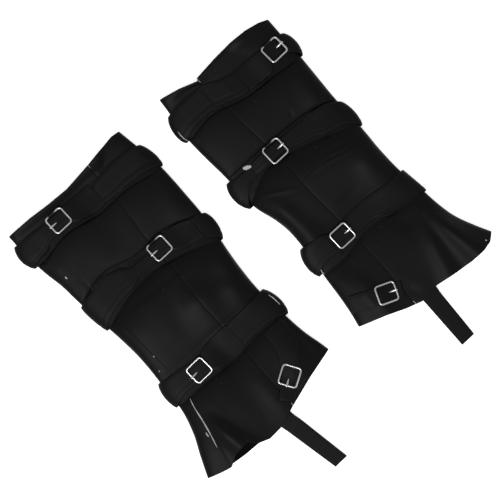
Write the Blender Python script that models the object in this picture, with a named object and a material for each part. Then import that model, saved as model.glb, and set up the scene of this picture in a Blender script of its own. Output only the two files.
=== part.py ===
# A pair of black leatherette leg covers (gaiters), laid flat side by side.
# Each cover is a flattened cloth tube: a front panel and a wrap panel, three straps
# with buckles round it, a buckled ankle strap and a stirrup loop at the hem.
# Lengths are in millimetres until a mesh is made. +Y runs from hem to knee.

import math
from collections import namedtuple

import bmesh
import bpy
from mathutils import Vector
from mathutils.bvhtree import BVHTree

for old_object in list(bpy.data.objects):
    bpy.data.objects.remove(old_object, do_unlink=True)

MILLIMETRE = 0.001

# Cloth and hardware
PANEL_WALL = 1.2
STRAP_WALL = 1.7
TONGUE_WALL = 1.5
ANKLE_WALL = 1.5
STIRRUP_WALL = 1.6
SEAM_HALF_GAP = 0.2
LAY_GAP = 0.45
ANKLE_GAP = 0.8
INSIDE_GAP = 0.4

# Overlap of the two panels at the closure: its lift, width, and the ramp that reaches it
LAP_LIFT = 1.9
LAP_WIDTH = 24.0
LAP_STEPS = 3
LAP_RAMP = 16.0
LAP_RISE_START = 0.25
LAP_RISE_SPAN = 0.6

# Section of the flattened tube
FOLD_RISE = 5.2
CROWN_POWER = 3.2
FLAT_POWER = 6.0
BACK_LIFT = 2.15
SWELL_POWER = 0.8
SEAM_VALLEY = 1.2
SEAM_VALLEY_WIDTH = 11.0
SEAM_PINCH = 0.1
CREASE_GROWTH = 0.55
CREASE_START_WIDTH = 0.7
CREASE_END_WIDTH = 1.25
CREASE_FOLD_FADE = 5
CROWD_POWER = 1.8
SHARP_ANGLE = 50

# Strap loops that stand off the folds
LOOP_FOOT = 4.0
LOOP_MIDDLE = 7.5
LOOP_STEPS = 4
LOOP_EDGE_STAND = 4.4
LOOP_EDGE_SHARE = 0.45
LOOP_EDGE_POWER = 2.2
LOOP_INSET = 2.0
STRAP_THREADS = 4
STATION_SPACING = 16.0
TAB_RAMP_START = 14.0
TAB_RAMP = 10.0
REST_REACH_X = 4.0
REST_REACH_Y = 3.0

# Stirrup, folded back on itself
STIRRUP_LAYER_GAP = 0.5
STIRRUP_BEND_LENGTH = 1.3
STIRRUP_BEND_STEPS = 4

# Buckles
BUCKLE_WIDTH = 27.8
BUCKLE_LENGTH = 29.2
BUCKLE_WIRE = 2.7
BUCKLE_CORNER = 3.6
BUCKLE_CORNER_STEPS = 3
BUCKLE_SIDES = 6
BUCKLE_TILT_LIMIT = 0.12
PRONG_WIDTH = 3.0
PRONG_WALL = 0.9
PRONG_GAP = 0.3
PRONG_REACH = 7.0
PRONG_HOOK_ANGLES = (190, 160, 130, 100, 70, 40)
PRONG_KNEE_SHARE = 0.45
PRONG_KNEE_HEIGHT = 0.15
PRONG_TIP_ANGLE = 70
PRONG_TIP_HEIGHT = -1.25

Section = namedtuple("Section", "along left closure seam right")
Edge = namedtuple("Edge", "across along")
Guide = namedtuple("Guide", "far_left left middle right far_right")
Zone = namedtuple("Zone", "height rows swell")
Crease = namedtuple("Crease", "x0 y0 x1 y1 width rise front_only", defaults=(False,))
Reach = namedtuple("Reach", "across upper lower")
Strap = namedtuple("Strap", "upper lower stand_left stand_right left_end right_end tongue")
Buckle = namedtuple("Buckle", "across along turn")
Stop = namedtuple("Stop", "across along width")

GUIDE_PLACES = (-100.0, -50.0, 0.0, 50.0, 100.0)

# Outline of each cover, hem last: left fold, closure edge, centre seam, right fold
LEFT_SECTIONS = [
    Section(236, -110.0, -73.6, 34.0, 95.0),
    Section(214, -110.0, -76.8, 33.0, 98.0),
    Section(190, -109.5, -77.0, 31.5, 101.0),
    Section(162, -107.0, -78.0, 30.0, 104.0),
    Section(137, -103.0, -77.0, 28.0, 104.0),
    Section(111, -101.5, -76.5, 25.0, 103.0),
    Section(81, -99.0, -77.0, 24.0, 101.5),
    Section(40, -94.5, -78.0, 22.5, 96.0),
    Section(-3, -92.0, -77.0, 19.6, 90.0),
    Section(-48, -94.5, -75.0, 18.3, 87.0),
    Section(-94, -98.6, -79.0, 18.0, 90.0),
    Section(-129, -109.0, -86.0, 16.8, 93.5),
    Section(-158, -123.0, -93.5, 16.4, 99.5),
    Section(-196, -140.0, -101.0, 15.5, 106.0),
]
RIGHT_SECTIONS = [
    Section(230, -87.0, 48.0, -31.5, 93.0),
    Section(210, -89.0, 48.0, -30.5, 93.6),
    Section(183, -92.0, 48.0, -29.0, 92.6),
    Section(163, -95.0, 47.0, -28.0, 92.3),
    Section(132, -94.7, 46.0, -26.5, 91.0),
    Section(101, -93.0, 45.0, -24.0, 89.0),
    Section(68, -92.0, 44.0, -23.0, 87.0),
    Section(36, -91.0, 43.0, -22.0, 87.0),
    Section(6, -83.0, 42.0, -22.5, 86.0),
    Section(-19, -79.5, 41.0, -21.5, 84.5),
    Section(-61, -82.0, 42.0, -20.4, 85.0),
    Section(-97, -86.7, 44.0, -20.0, 89.0),
    Section(-130, -90.3, 47.0, -19.5, 92.5),
    Section(-154, -94.0, 52.0, -20.3, 97.5),
    Section(-182, -100.0, 62.0, -21.3, 109.0),
    Section(-212, -106.0, 74.0, -22.0, 124.0),
]

# Knee edge and hem of each cover, from its left fold to its right one
LEFT_KNEE = [Edge(-110, 233.5), Edge(-73, 232), Edge(-41, 228.6), Edge(-9, 226.8), Edge(35, 231),
             Edge(82, 237.6), Edge(95, 236.2)]
LEFT_KNEE_BACK = [Edge(-110, 233), Edge(-41, 225), Edge(35, 227), Edge(95, 235.8)]
LEFT_HEM = [Edge(-140, -184), Edge(-116, -192), Edge(-101, -196), Edge(-85, -187), Edge(-63, -185),
            Edge(-54, -196), Edge(-37, -203), Edge(-16, -202), Edge(14, -192), Edge(59, -179),
            Edge(105, -168.5)]
LEFT_HEM_BACK = [Edge(-140, -184), Edge(-116, -192), Edge(-78, -197), Edge(-37, -199),
                 Edge(14, -189), Edge(59, -176), Edge(105, -168)]
RIGHT_KNEE = [Edge(-87, 230), Edge(-57, 222.4), Edge(-31.6, 213), Edge(-30.6, 216.7),
              Edge(-12.7, 218.2), Edge(5, 219.8), Edge(34, 220.8), Edge(60, 219), Edge(80, 214.8),
              Edge(93.6, 209.5)]
RIGHT_KNEE_BACK = [Edge(-87, 229.5), Edge(-31, 210), Edge(34, 212), Edge(93.6, 208)]
RIGHT_HEM = [Edge(-100, -174.5), Edge(-61, -188.5), Edge(-35, -200), Edge(-13, -207.5),
             Edge(15, -205), Edge(47, -210.5), Edge(72, -213.4), Edge(94, -213.6), Edge(108, -211),
             Edge(121, -201)]
RIGHT_HEM_BACK = [Edge(-100, -174), Edge(-61, -185), Edge(-13, -203), Edge(47, -207),
                  Edge(94, -211), Edge(121, -200)]

# Tube height from knee to hem: where each stretch starts, its rows and its swell.
# The stretches numbered 1, 3 and 5, counted from 0, lie under the straps.
LEFT_ZONES = [Zone(20, 2, 1), Zone(16, 2, 0), Zone(16, 3, 8), Zone(16, 2, 0), Zone(16, 4, 10),
              Zone(16, 2, 0), Zone(16, 5, 6), Zone(19, 0, 0)]
RIGHT_ZONES = [Zone(21, 2, 1), Zone(16, 2, 0), Zone(16, 3, 9), Zone(16, 2, 0), Zone(16, 4, 9),
               Zone(16, 2, 0), Zone(16, 5, 5), Zone(19, 0, 0)]

# Largest folds of the cloth, each a soft ridge or trough from one end to the other
LEFT_CREASES = [
    Crease(-84, -114, -68, -206, 14, 9, True),
    Crease(2, -122, 8, -205, 17, 2),
    Crease(78, -95, 85, -150, 10, -3),
    Crease(54, -110, 58, -190, 14, 1.5),
    Crease(22, 32, 18, -38, 28, 5.5),
    Crease(64, 4, 62, -46, 18, 4),
    Crease(84, 48, 84, -46, 18, 4),
    Crease(93, 160, 91, 110, 16, 2),
    Crease(60, 226, 45, 240, 22, 4),
]
RIGHT_CREASES = [
    Crease(73, -92, 84, -214, 13, 9),
    Crease(80, -128, 100, -212, 13, 5),
    Crease(62, -112, 38, -208, 10, 3.5),
    Crease(-55, -110, -62, -190, 14, 4),
    Crease(70, 16, 67, -52, 22, 4),
    Crease(-72, 40, -68, -45, 14, 6),
    Crease(80, 152, 78, 92, 18, 4),
    Crease(30, 204, 60, 226, 24, 4),
]

# Straps: edges of the pinched stretch, loop stand-off, band ends and tongue outlines
LEFT_STRAPS = [
    Strap(
        upper=Guide(220, 217, 216, 215, 206),
        lower=Guide(176, 183, 173, 172, 161),
        stand_left=11.0, stand_right=8.0,
        left_end=[Reach(-84, 216, 180), Reach(-80, 215, 187), Reach(-75, 214, 190),
                  Reach(-60, 213.5, 191.5), Reach(-36, 213.5, 192)],
        right_end=[Reach(75, 211, 173), Reach(60, 212, 175), Reach(34, 209.5, 176),
                   Reach(21, 208, 177), Reach(16.5, 202, 179)],
        tongue=[Reach(16, 212, 177), Reach(-4, 213, 176.5), Reach(-17, 213.5, 178),
                Reach(-26, 213.5, 182), Reach(-33, 213.5, 189), Reach(-37, 213, 192),
                Reach(-60, 212.5, 192.5)]),
    Strap(
        upper=Guide(100, 110, 98, 98, 80),
        lower=Guide(49, 63, 67, 55, 34),
        stand_left=6.0, stand_right=9.5,
        left_end=[Reach(-72, 104, 64), Reach(-54, 108, 68), Reach(-34, 102, 69),
                  Reach(-26, 98, 70), Reach(-22, 92, 75), Reach(-10, 91, 73.5),
                  Reach(12, 91, 73.5), Reach(34, 94.5, 73.5)],
        right_end=[Reach(83.5, 85, 51)],
        tongue=[Reach(83, 86, 54), Reach(65, 93, 58), Reach(50, 95, 61.5),
                Reach(42, 95, 66), Reach(37, 95, 72), Reach(12, 94.5, 74)]),
    Strap(
        upper=Guide(-46, -48, -47, -48, -48),
        lower=Guide(-90, -90, -95, -91, -99),
        stand_left=9.0, stand_right=12.0,
        left_end=[Reach(-70, -51.5, -80), Reach(-55, -54, -83), Reach(-30, -58, -83)],
        right_end=[Reach(60, -50.5, -88), Reach(42, -51, -88), Reach(27, -51, -89.5),
                   Reach(23, -54, -88.5)],
        tongue=[Reach(22.5, -51, -91), Reach(0, -50.5, -92.5), Reach(-14, -52, -92),
                Reach(-24, -54, -90), Reach(-29, -57, -86), Reach(-34, -59.5, -83),
                Reach(-56, -60, -82)]),
]
RIGHT_STRAPS = [
    Strap(
        upper=Guide(207, 211, 194, 190, 184),
        lower=Guide(161, 167, 153, 148, 141),
        stand_left=12.0, stand_right=9.5,
        left_end=[Reach(-70, 207, 172), Reach(-44, 206, 170), Reach(-28, 203.5, 165),
                  Reach(-10, 194, 160), Reach(6, 189.5, 156), Reach(11, 187, 158)],
        right_end=[Reach(85, 185, 157), Reach(73, 185.5, 160), Reach(58, 186, 163)],
        tongue=[Reach(11.5, 189, 155), Reach(26, 188, 151.5), Reach(36, 187.5, 150.5),
                Reach(47, 187, 153), Reach(55, 186.5, 158), Reach(59, 186, 163),
                Reach(81, 185, 164)]),
    Strap(
        upper=Guide(88, 88, 86, 81, 64),
        lower=Guide(38, 62, 56, 38, 18),
        stand_left=14.0, stand_right=8.0,
        left_end=[Reach(-77, 83, 60), Reach(-72, 81.5, 65.5), Reach(-60, 82, 66)],
        right_end=[Reach(62, 77, 40), Reach(48, 79, 42), Reach(41, 79.5, 44),
                   Reach(36, 80, 51), Reach(27, 80.5, 54), Reach(10, 81.5, 59),
                   Reach(-6, 82.5, 63), Reach(-32, 83.5, 65)],
        tongue=[Reach(-59.5, 82, 66.5), Reach(-45, 83.5, 66), Reach(-33, 84, 65.5),
                Reach(-6, 82, 64.5)]),
    Strap(
        upper=Guide(-44, -47, -50, -55, -59),
        lower=Guide(-92, -95, -87, -98, -105),
        stand_left=13.0, stand_right=4.5,
        left_end=[Reach(-70, -47.5, -81), Reach(-60, -49.5, -81.5), Reach(-50, -51, -82)],
        right_end=[Reach(62, -59.5, -95), Reach(36, -56, -94.5), Reach(28, -55, -91),
                   Reach(21, -54, -85), Reach(8, -54, -81.5), Reach(-16, -55, -82.5),
                   Reach(-46, -57, -82.5)],
        tongue=[Reach(-49.5, -52, -90.5), Reach(-46, -56, -84), Reach(-18, -57.5, -82.5)]),
]

LEFT_BUCKLES = [Buckle(-45.2, 203, 0), Buckle(28.2, 84.2, 0), Buckle(-44.1, -71.3, 2),
                Buckle(39, -159, 30)]
RIGHT_BUCKLES = [Buckle(71, 173.6, 182), Buckle(-20, 73.8, 180), Buckle(-31.6, -70.2, 180),
                 Buckle(-41, -166.5, 157)]
LEFT_ANKLE = [Stop(67, -92.8, 32), Stop(67, -113, 33), Stop(63, -129, 33), Stop(53, -143, 27),
              Stop(39, -158.5, 21.5),
              Stop(25, -171, 22), Stop(13, -182, 22)]
RIGHT_ANKLE = [Stop(-87, -145.7, 24), Stop(-61, -158, 24), Stop(-41, -166.5, 22),
               Stop(-20, -176.5, 21)]
LEFT_STIRRUP = [Stop(-5, -176, 24), Stop(-5, -198, 24), Stop(-2, -214, 24), Stop(9.5, -282, 21.8),
                Stop(10.8, -289.5, 21.6)]
RIGHT_STIRRUP = [Stop(3, -180, 26), Stop(2, -203, 26), Stop(1, -218, 24.5), Stop(-2, -280, 22.2),
                 Stop(-2.4, -286, 22)]

Cover = namedtuple("Cover", "name place sections knee knee_back hem hem_back zones creases straps "
                            "buckles ankle stirrup closure_on_back tongue_side")
LEFT_COVER = Cover("left", (-116.8, 27.0), LEFT_SECTIONS, LEFT_KNEE, LEFT_KNEE_BACK, LEFT_HEM,
                   LEFT_HEM_BACK, LEFT_ZONES, LEFT_CREASES, LEFT_STRAPS, LEFT_BUCKLES, LEFT_ANKLE,
                   LEFT_STIRRUP, False, 1)
RIGHT_COVER = Cover("right", (133.2, 27.0), RIGHT_SECTIONS, RIGHT_KNEE, RIGHT_KNEE_BACK, RIGHT_HEM,
                    RIGHT_HEM_BACK, RIGHT_ZONES, RIGHT_CREASES, RIGHT_STRAPS, RIGHT_BUCKLES,
                    RIGHT_ANKLE, RIGHT_STIRRUP, True, -1)


def make_material(name, colour, roughness, metallic):
    """A Principled material with one colour and finish."""
    material = bpy.data.materials.new(name)
    material.use_nodes = True
    shader = material.node_tree.nodes["Principled BSDF"]
    shader.inputs["Base Color"].default_value = (*colour, 1.0)
    shader.inputs["Roughness"].default_value = roughness
    shader.inputs["Metallic"].default_value = metallic
    return material


LEATHERETTE = make_material("black leatherette", (0.012, 0.012, 0.013), 0.5, 0.0)
STRAP_CLOTH = make_material("black strap leatherette", (0.014, 0.014, 0.015), 0.45, 0.0)
CHROME = make_material("chrome", (0.8, 0.8, 0.8), 0.15, 1.0)


def blend(low, high, share):
    """The value a share of the way from low to high."""
    return low + (high - low) * share


def ease(share):
    """A smooth rise from 0 to 1."""
    share = min(max(share, 0.0), 1.0)
    return share * share * (3.0 - 2.0 * share)


def straight_value(points, at):
    """Linear reading of (place, value) pairs, level past their ends."""
    points = sorted(points)
    if at <= points[0][0]:
        return points[0][1]
    for (place_a, value_a), (place_b, value_b) in zip(points, points[1:]):
        if at <= place_b:
            return blend(value_a, value_b, (at - place_a) / (place_b - place_a))
    return points[-1][1]


def smooth_value(points, at):
    """Cubic reading of (place, value) pairs, with slopes from their neighbours."""
    points = sorted(points)
    last = len(points) - 1
    at = min(max(at, points[0][0]), points[last][0])
    index = 0
    while index < last - 1 and at > points[index + 1][0]:
        index += 1

    def slope(i):
        before = points[max(i - 1, 0)]
        after = points[min(i + 1, last)]
        return (after[1] - before[1]) / (after[0] - before[0])

    (place_a, value_a), (place_b, value_b) = points[index], points[index + 1]
    span = place_b - place_a
    t = (at - place_a) / span
    return (value_a * (1 + 2 * t) * (1 - t) ** 2 + value_b * t * t * (3 - 2 * t)
            + span * t * (1 - t) * (slope(index) * (1 - t) - slope(index + 1) * t))


def line_at(cover, column, along):
    """Where one of the cover's lengthwise lines lies at a place along it."""
    return smooth_value([(s.along, getattr(s, column)) for s in cover.sections], along)


def guide_value(cover, guide, across, on_back):
    """A strap edge line: shaped on the front, straight from fold to fold on the back."""
    if on_back:
        share = (across - GUIDE_PLACES[0]) / (GUIDE_PLACES[-1] - GUIDE_PLACES[0])
        return blend(guide.far_left, guide.far_right, min(max(share, 0.0), 1.0))
    return smooth_value(list(zip(GUIDE_PLACES, guide)), across)


def row_lines(cover, across, on_back):
    """The knee edge, each strap's two edges and the hem, at a place across."""
    knee = cover.knee_back if on_back else cover.knee
    hem = cover.hem_back if on_back else cover.hem
    lines = [straight_value(knee, across)]
    for strap in cover.straps:
        lines.append(guide_value(cover, strap.upper, across, on_back))
        lines.append(guide_value(cover, strap.lower, across, on_back))
    lines.append(straight_value(hem, across))
    return lines


def cover_rows(cover):
    """Rows from knee to hem as (zone, share of the zone)."""
    rows = []
    for zone_number, zone in enumerate(cover.zones[:-1]):
        for step in range(zone.rows):
            rows.append((zone_number, step / zone.rows))
    rows.append((len(cover.zones) - 2, 1.0))
    return rows


def row_height(cover, row):
    """Height of the tube at a row, with its swell between straps."""
    zone_number, share = row
    here = cover.zones[zone_number]
    after = cover.zones[zone_number + 1]
    swell = here.swell * math.sin(math.pi * share) ** SWELL_POWER
    return blend(here.height, after.height, ease(share)) + swell


def row_lift(row):
    """Lift of the tube over a strap that passes under it."""
    zone_number, share = row
    under_strap = zone_number % 2 == 1
    at_strap_edge = zone_number > 0 and share == 0.0
    return BACK_LIFT if under_strap or at_strap_edge else 0.0


def crease_height(cover, across, along, on_front):
    """Sum of the folds at a point: each grows along its line and fades beside it."""
    total = 0.0
    for crease in cover.creases:
        if crease.front_only and not on_front:
            continue
        run = Vector((crease.x1 - crease.x0, crease.y1 - crease.y0))
        offset = Vector((across - crease.x0, along - crease.y0))
        share = offset.dot(run) / run.length_squared
        beside = abs(offset.cross(run)) / run.length
        past = max(share - 1.0, 0.0) * run.length / crease.width
        strength = ease(share / CREASE_GROWTH) * math.exp(-past * past)
        widening = blend(CREASE_START_WIDTH, CREASE_END_WIDTH, min(max(share, 0.0), 1.0))
        total += crease.rise * strength * math.exp(-((beside / (crease.width * widening)) ** 2))
    return total


def seam_openness(row):
    """How much of the seam's valley shows at a row: little where a strap pinches the tube."""
    zone_number, share = row
    if zone_number % 2 == 1:
        return SEAM_PINCH
    if zone_number == 0:
        return blend(1.0, SEAM_PINCH, ease(share))
    if zone_number == 6:
        return blend(SEAM_PINCH, 1.0, ease(share * 2))
    return blend(SEAM_PINCH, 1.0, math.sin(math.pi * share))


def surface_point(cover, row, on_back, across_of, on_front):
    """Outer point of the tube on a row; across_of gives its place across from its place along."""
    zone_number, share = row
    along = 0.0
    across = across_of(along)
    for _ in range(4):
        lines = row_lines(cover, across, on_back)
        along = blend(lines[zone_number], lines[zone_number + 1], share)
        across = across_of(along)
    left = line_at(cover, "left", along)
    right = line_at(cover, "right", along)
    half = (right - left) / 2
    reach = min(abs(across - (left + right) / 2) / half, 1.0)
    lift = row_lift(row)
    fold = lift + FOLD_RISE
    if on_back:
        level = fold - FOLD_RISE * (1 - reach ** FLAT_POWER) ** (1 / FLAT_POWER)
        if cover.closure_on_back:
            closure = line_at(cover, "closure", along)
            near_lap = ease((across - closure + LAP_WIDTH) / LAP_RAMP)
            level += LAP_LIFT * near_lap
        return Vector((across, along, level))
    level = fold + (row_height(cover, row) - fold) * (1 - reach ** CROWN_POWER) ** (1 / CROWN_POWER)
    spread = 1 - reach ** CREASE_FOLD_FADE
    level += crease_height(cover, across, along, on_front) * spread
    beside_seam = (across - line_at(cover, "seam", along)) / SEAM_VALLEY_WIDTH
    level -= SEAM_VALLEY * seam_openness(row) * math.exp(-beside_seam * beside_seam)
    return Vector((across, along, level))


def column_run(start, end, count, crowd):
    """Shares from start to end, crowded at the ends named in crowd."""
    shares = []
    for step in range(count + 1):
        t = step / count
        if crowd == "both":
            t = 0.5 - 0.5 * math.cos(math.pi * t)
        elif crowd == "end":
            t = 1 - (1 - t) ** CROWD_POWER
        elif crowd == "start":
            t = t ** CROWD_POWER
        shares.append(blend(start, end, t))
    return shares


def between(cover, first, second, share, shift=0.0):
    """A function that gives the place across, a share of the way between two lines."""
    def across_of(along):
        return blend(line_at(cover, first, along), line_at(cover, second, along), share) + shift
    return across_of


def panel_columns(cover):
    """The columns of both panels as (on back, place across, lift off the base surface)."""
    front = []
    wrap = []
    if cover.closure_on_back:
        for share in column_run(0.0, 1.0, 9, "end"):
            shift = SEAM_HALF_GAP * (1 - share)
            front.append((False, between(cover, "seam", "right", share, shift), 0.0))
        for share in column_run(0.0, 1.0, 5, "start")[1:]:
            lap = LAP_LIFT * ease(share * LAP_STEPS)
            front.append((True, between(cover, "right", "closure", share), lap))
        for share in column_run(0.0, 1.0, 8, "end"):
            shift = -SEAM_HALF_GAP * (1 - share)
            wrap.append((False, between(cover, "seam", "left", share, shift), 0.0))
        for share in column_run(0.0, 1.0, 9, "both")[1:-1]:
            wrap.append((True, between(cover, "left", "closure", share, LAP_WIDTH * share), 0.0))
        wrap.append((True, between(cover, "closure", "closure", 0.0, LAP_WIDTH), 0.0))
        return front[::-1], wrap
    for share in column_run(0.0, 1.0, 6, "even")[:-1]:
        lap = LAP_LIFT * ease((share - LAP_RISE_START) / LAP_RISE_SPAN)
        shift = LAP_WIDTH * share - SEAM_HALF_GAP * (1 - share)
        front.append((False, between(cover, "seam", "closure", share, shift), lap))
    for step in range(LAP_STEPS, -1, -1):
        shift = LAP_WIDTH * step / LAP_STEPS
        front.append((False, between(cover, "closure", "closure", 0.0, shift), LAP_LIFT))
    for share in column_run(0.0, 1.0, 7, "end"):
        shift = SEAM_HALF_GAP * (1 - share)
        wrap.append((False, between(cover, "seam", "right", share, shift), 0.0))
    for share in column_run(0.0, 1.0, 11, "both")[1:]:
        wrap.append((True, between(cover, "right", "left", share), 0.0))
    for share in column_run(0.0, 1.0, 4, "start")[1:-1]:
        wrap.append((False, between(cover, "left", "closure", share), 0.0))
    for step in range(LAP_STEPS + 1):
        shift = LAP_WIDTH * step / LAP_STEPS
        wrap.append((False, between(cover, "closure", "closure", 0.0, shift), 0.0))
    return front, wrap[::-1]


def mesh_object(name, vertices, faces, material, cover):
    """An object from points in millimetres in a cover's own frame."""
    place = Vector((cover.place[0], cover.place[1], 0.0))
    mesh = bpy.data.meshes.new(name)
    mesh.from_pydata([tuple((v + place) * MILLIMETRE) for v in vertices], [], faces)
    shape = bmesh.new()
    shape.from_mesh(mesh)
    bmesh.ops.recalc_face_normals(shape, faces=shape.faces)
    bmesh.ops.triangulate(shape, faces=shape.faces, quad_method="FIXED")
    if shape.calc_volume(signed=True) < 0:
        bmesh.ops.reverse_faces(shape, faces=shape.faces)
    shape.to_mesh(mesh)
    shape.free()
    mesh.shade_smooth()
    mesh.set_sharp_from_angle(angle=math.radians(SHARP_ANGLE))
    mesh.materials.append(material)
    made = bpy.data.objects.new(name, mesh)
    bpy.context.scene.collection.objects.link(made)


def sheet_solid(lower, upper):
    """Vertices and faces of a closed wall between two equal grids of points."""
    rows, columns = len(lower), len(lower[0])
    vertices = [p for line in lower for p in line] + [p for line in upper for p in line]
    top = rows * columns
    faces = []
    for i in range(rows - 1):
        for j in range(columns - 1):
            a = i * columns + j
            quad = (a, a + 1, a + columns + 1, a + columns)
            faces.append(quad)
            faces.append(tuple(top + k for k in reversed(quad)))
    border = [j for j in range(columns)]
    border += [i * columns + columns - 1 for i in range(1, rows)]
    border += [(rows - 1) * columns + j for j in range(columns - 2, -1, -1)]
    border += [i * columns for i in range(rows - 2, 0, -1)]
    for a, b in zip(border, border[1:] + border[:1]):
        faces.append((b, a, top + a, top + b))
    return vertices, faces


def grid_normals(grid):
    """Unit outward normals of a panel's grid of points, from its neighbours."""
    rows, columns = len(grid), len(grid[0])
    normals = []
    for i in range(rows):
        line = []
        for j in range(columns):
            along = grid[min(i + 1, rows - 1)][j] - grid[max(i - 1, 0)][j]
            across = grid[i][min(j + 1, columns - 1)] - grid[i][max(j - 1, 0)]
            line.append(along.cross(across).normalized())
        normals.append(line)
    middle = rows // 2
    top = max(range(columns), key=lambda j: grid[middle][j].z)
    if normals[middle][top].z < 0:
        normals = [[-n for n in line] for line in normals]
    return normals


def make_panel(cover, label, columns):
    """One cloth panel of the tube as a true wall."""
    rows = cover_rows(cover)
    on_front = label == "front_panel"
    base = [[surface_point(cover, row, on_back, across_of, on_front)
             for on_back, across_of, _ in columns] for row in rows]
    normals = grid_normals(base)
    inner = []
    outer = []
    for line, normal_line in zip(base, normals):
        spots = list(zip(line, normal_line, (extra for _, _, extra in columns)))
        outer.append([p + n * extra for p, n, extra in spots])
        inner.append([p + n * (extra - PANEL_WALL) for p, n, extra in spots])
    vertices, faces = sheet_solid(inner, outer)
    mesh_object(f"{cover.name}_{label}", vertices, faces, LEATHERETTE, cover)


def surface_tree(cover):
    """A search tree over the cover's pieces so far, in its frame and in millimetres."""
    place = Vector((cover.place[0], cover.place[1], 0.0))
    vertices = []
    faces = []
    for item in bpy.data.objects:
        if not item.name.startswith(cover.name):
            continue
        start = len(vertices)
        vertices += [v.co / MILLIMETRE - place for v in item.data.vertices]
        faces += [tuple(start + k for k in polygon.vertices) for polygon in item.data.polygons]
    return BVHTree.FromPolygons(vertices, faces)


def drop_on(tree, across, along):
    """Height of the top surface under a point, or 0 where nothing is under it."""
    spot = tree.ray_cast(Vector((across, along, 200.0)), Vector((0.0, 0.0, -1.0)))[0]
    return spot.z if spot is not None else 0.0


def rest_height(tree, across, along):
    """Highest surface near a point, so that a stiff strip clears it."""
    highest = 0.0
    for step_x in (-REST_REACH_X, 0.0, REST_REACH_X):
        for step_y in (-REST_REACH_Y, 0.0, REST_REACH_Y):
            highest = max(highest, drop_on(tree, across + step_x, along + step_y))
    return highest


def fill_stations(reaches, spacing):
    """The rows of an outline table with more put in where they are far apart."""
    stations = [reaches[0]]
    for before, after in zip(reaches, reaches[1:]):
        count = max(1, math.ceil(abs(after.across - before.across) / spacing))
        for step in range(1, count + 1):
            share = step / count
            stations.append(Reach(*(blend(a, b, share) for a, b in zip(before, after))))
    return stations


def loop_points(start, fold, side, stand, height):
    """Inner line of a strap loop past a fold, from its top start to its foot."""
    outside = fold + side * (stand - STRAP_WALL)
    foot = fold - side * LOOP_FOOT
    points = []
    for step in range(LOOP_STEPS + 1):
        angle = math.pi / 2 * (1 - step / LOOP_STEPS)
        across = start + (outside - start) * math.cos(angle)
        points.append((across, LOOP_MIDDLE + (height - LOOP_MIDDLE) * math.sin(angle)))
    for step in range(1, LOOP_STEPS + 1):
        angle = math.pi / 2 * step / LOOP_STEPS
        across = foot + (outside - foot) * math.cos(angle)
        points.append((across, LOOP_MIDDLE - (LOOP_MIDDLE - STRAP_WALL) * math.sin(angle)))
    return points


def strap_thread(cover, strap, tree, share):
    """One line of a strap's inner face, from its left end round the back to its right end."""
    upper, lower = strap.upper, strap.lower
    loop_left = blend(lower.far_left + LOOP_INSET, upper.far_left - LOOP_INSET, share)
    loop_right = blend(lower.far_right + LOOP_INSET, upper.far_right - LOOP_INSET, share)
    fold_left = line_at(cover, "left", loop_left)
    fold_right = line_at(cover, "right", loop_right)

    def along_of(reach):
        return blend(reach.lower, reach.upper, share)

    def front_thread(ends):
        spots = []
        for reach in fill_stations(ends, STATION_SPACING)[1:]:
            along = along_of(reach)
            level = rest_height(tree, reach.across, along) + LAY_GAP
            spots.append(Vector((reach.across, along, level)))
        return spots

    def loop_thread(ends, fold, side, stand, loop_along):
        edge_stand = max(LOOP_EDGE_STAND, stand * LOOP_EDGE_SHARE)
        stand = blend(stand, edge_stand, abs(2 * share - 1) ** LOOP_EDGE_POWER)
        start = ends[0].across
        start_along = along_of(ends[0])
        top = rest_height(tree, start, start_along) + LAY_GAP
        spots = []
        for step, (across, level) in enumerate(loop_points(start, fold, side, stand, top)):
            turn = ease(step / LOOP_STEPS)
            spots.append(Vector((across, blend(start_along, loop_along, turn), level)))
        return spots

    left_loop = loop_thread(strap.left_end, fold_left, -1, strap.stand_left, loop_left)
    right_loop = loop_thread(strap.right_end, fold_right, 1, strap.stand_right, loop_right)[::-1]
    thread = front_thread(strap.left_end)[::-1] + left_loop
    for share_back in (0.25, 0.5, 0.75):
        thread.append(left_loop[-1].lerp(right_loop[0], share_back))
    thread += right_loop + front_thread(strap.right_end)
    return thread


def thread_normals(thread):
    """Outward normals of a thread, in the plane across the cover."""
    normals = []
    for number, spot in enumerate(thread):
        before = thread[max(number - 1, 0)]
        after = thread[min(number + 1, len(thread) - 1)]
        run = after - before
        normals.append(Vector((run.z, 0.0, -run.x)).normalized())
    return normals


def make_strap(cover, number, strap, tree):
    """A strap band: a wall round the back with both its ends on the front."""
    inner = []
    outer = []
    for step in range(STRAP_THREADS):
        thread = strap_thread(cover, strap, tree, step / (STRAP_THREADS - 1))
        inner.append(thread)
        outer.append([p + n * STRAP_WALL for p, n in zip(thread, thread_normals(thread))])
    vertices, faces = sheet_solid(inner, outer)
    mesh_object(f"{cover.name}_strap_{number}", vertices, faces, STRAP_CLOTH, cover)


def make_tongue(cover, number, strap, tree):
    """A strap's tongue: it starts beside the band's end and lies on the other band's tab."""
    tab = strap.left_end[-1].across if cover.tongue_side > 0 else strap.right_end[-1].across
    lower = []
    upper = []
    for step in range(STRAP_THREADS):
        share = step / (STRAP_THREADS - 1)
        thread = []
        for reach in fill_stations(strap.tongue, STATION_SPACING):
            along = blend(reach.lower, reach.upper, share)
            past_tab = (tab - reach.across) * cover.tongue_side + TAB_RAMP_START
            on_tab = ease(past_tab / TAB_RAMP) * (STRAP_WALL + LAY_GAP)
            level = rest_height(tree, reach.across, along) + LAY_GAP + on_tab
            thread.append(Vector((reach.across, along, level)))
        lower.append(thread)
        upper.append([p + Vector((0.0, 0.0, TONGUE_WALL)) for p in thread])
    vertices, faces = sheet_solid(lower, upper)
    mesh_object(f"{cover.name}_tongue_{number}", vertices, faces, STRAP_CLOTH, cover)


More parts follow.
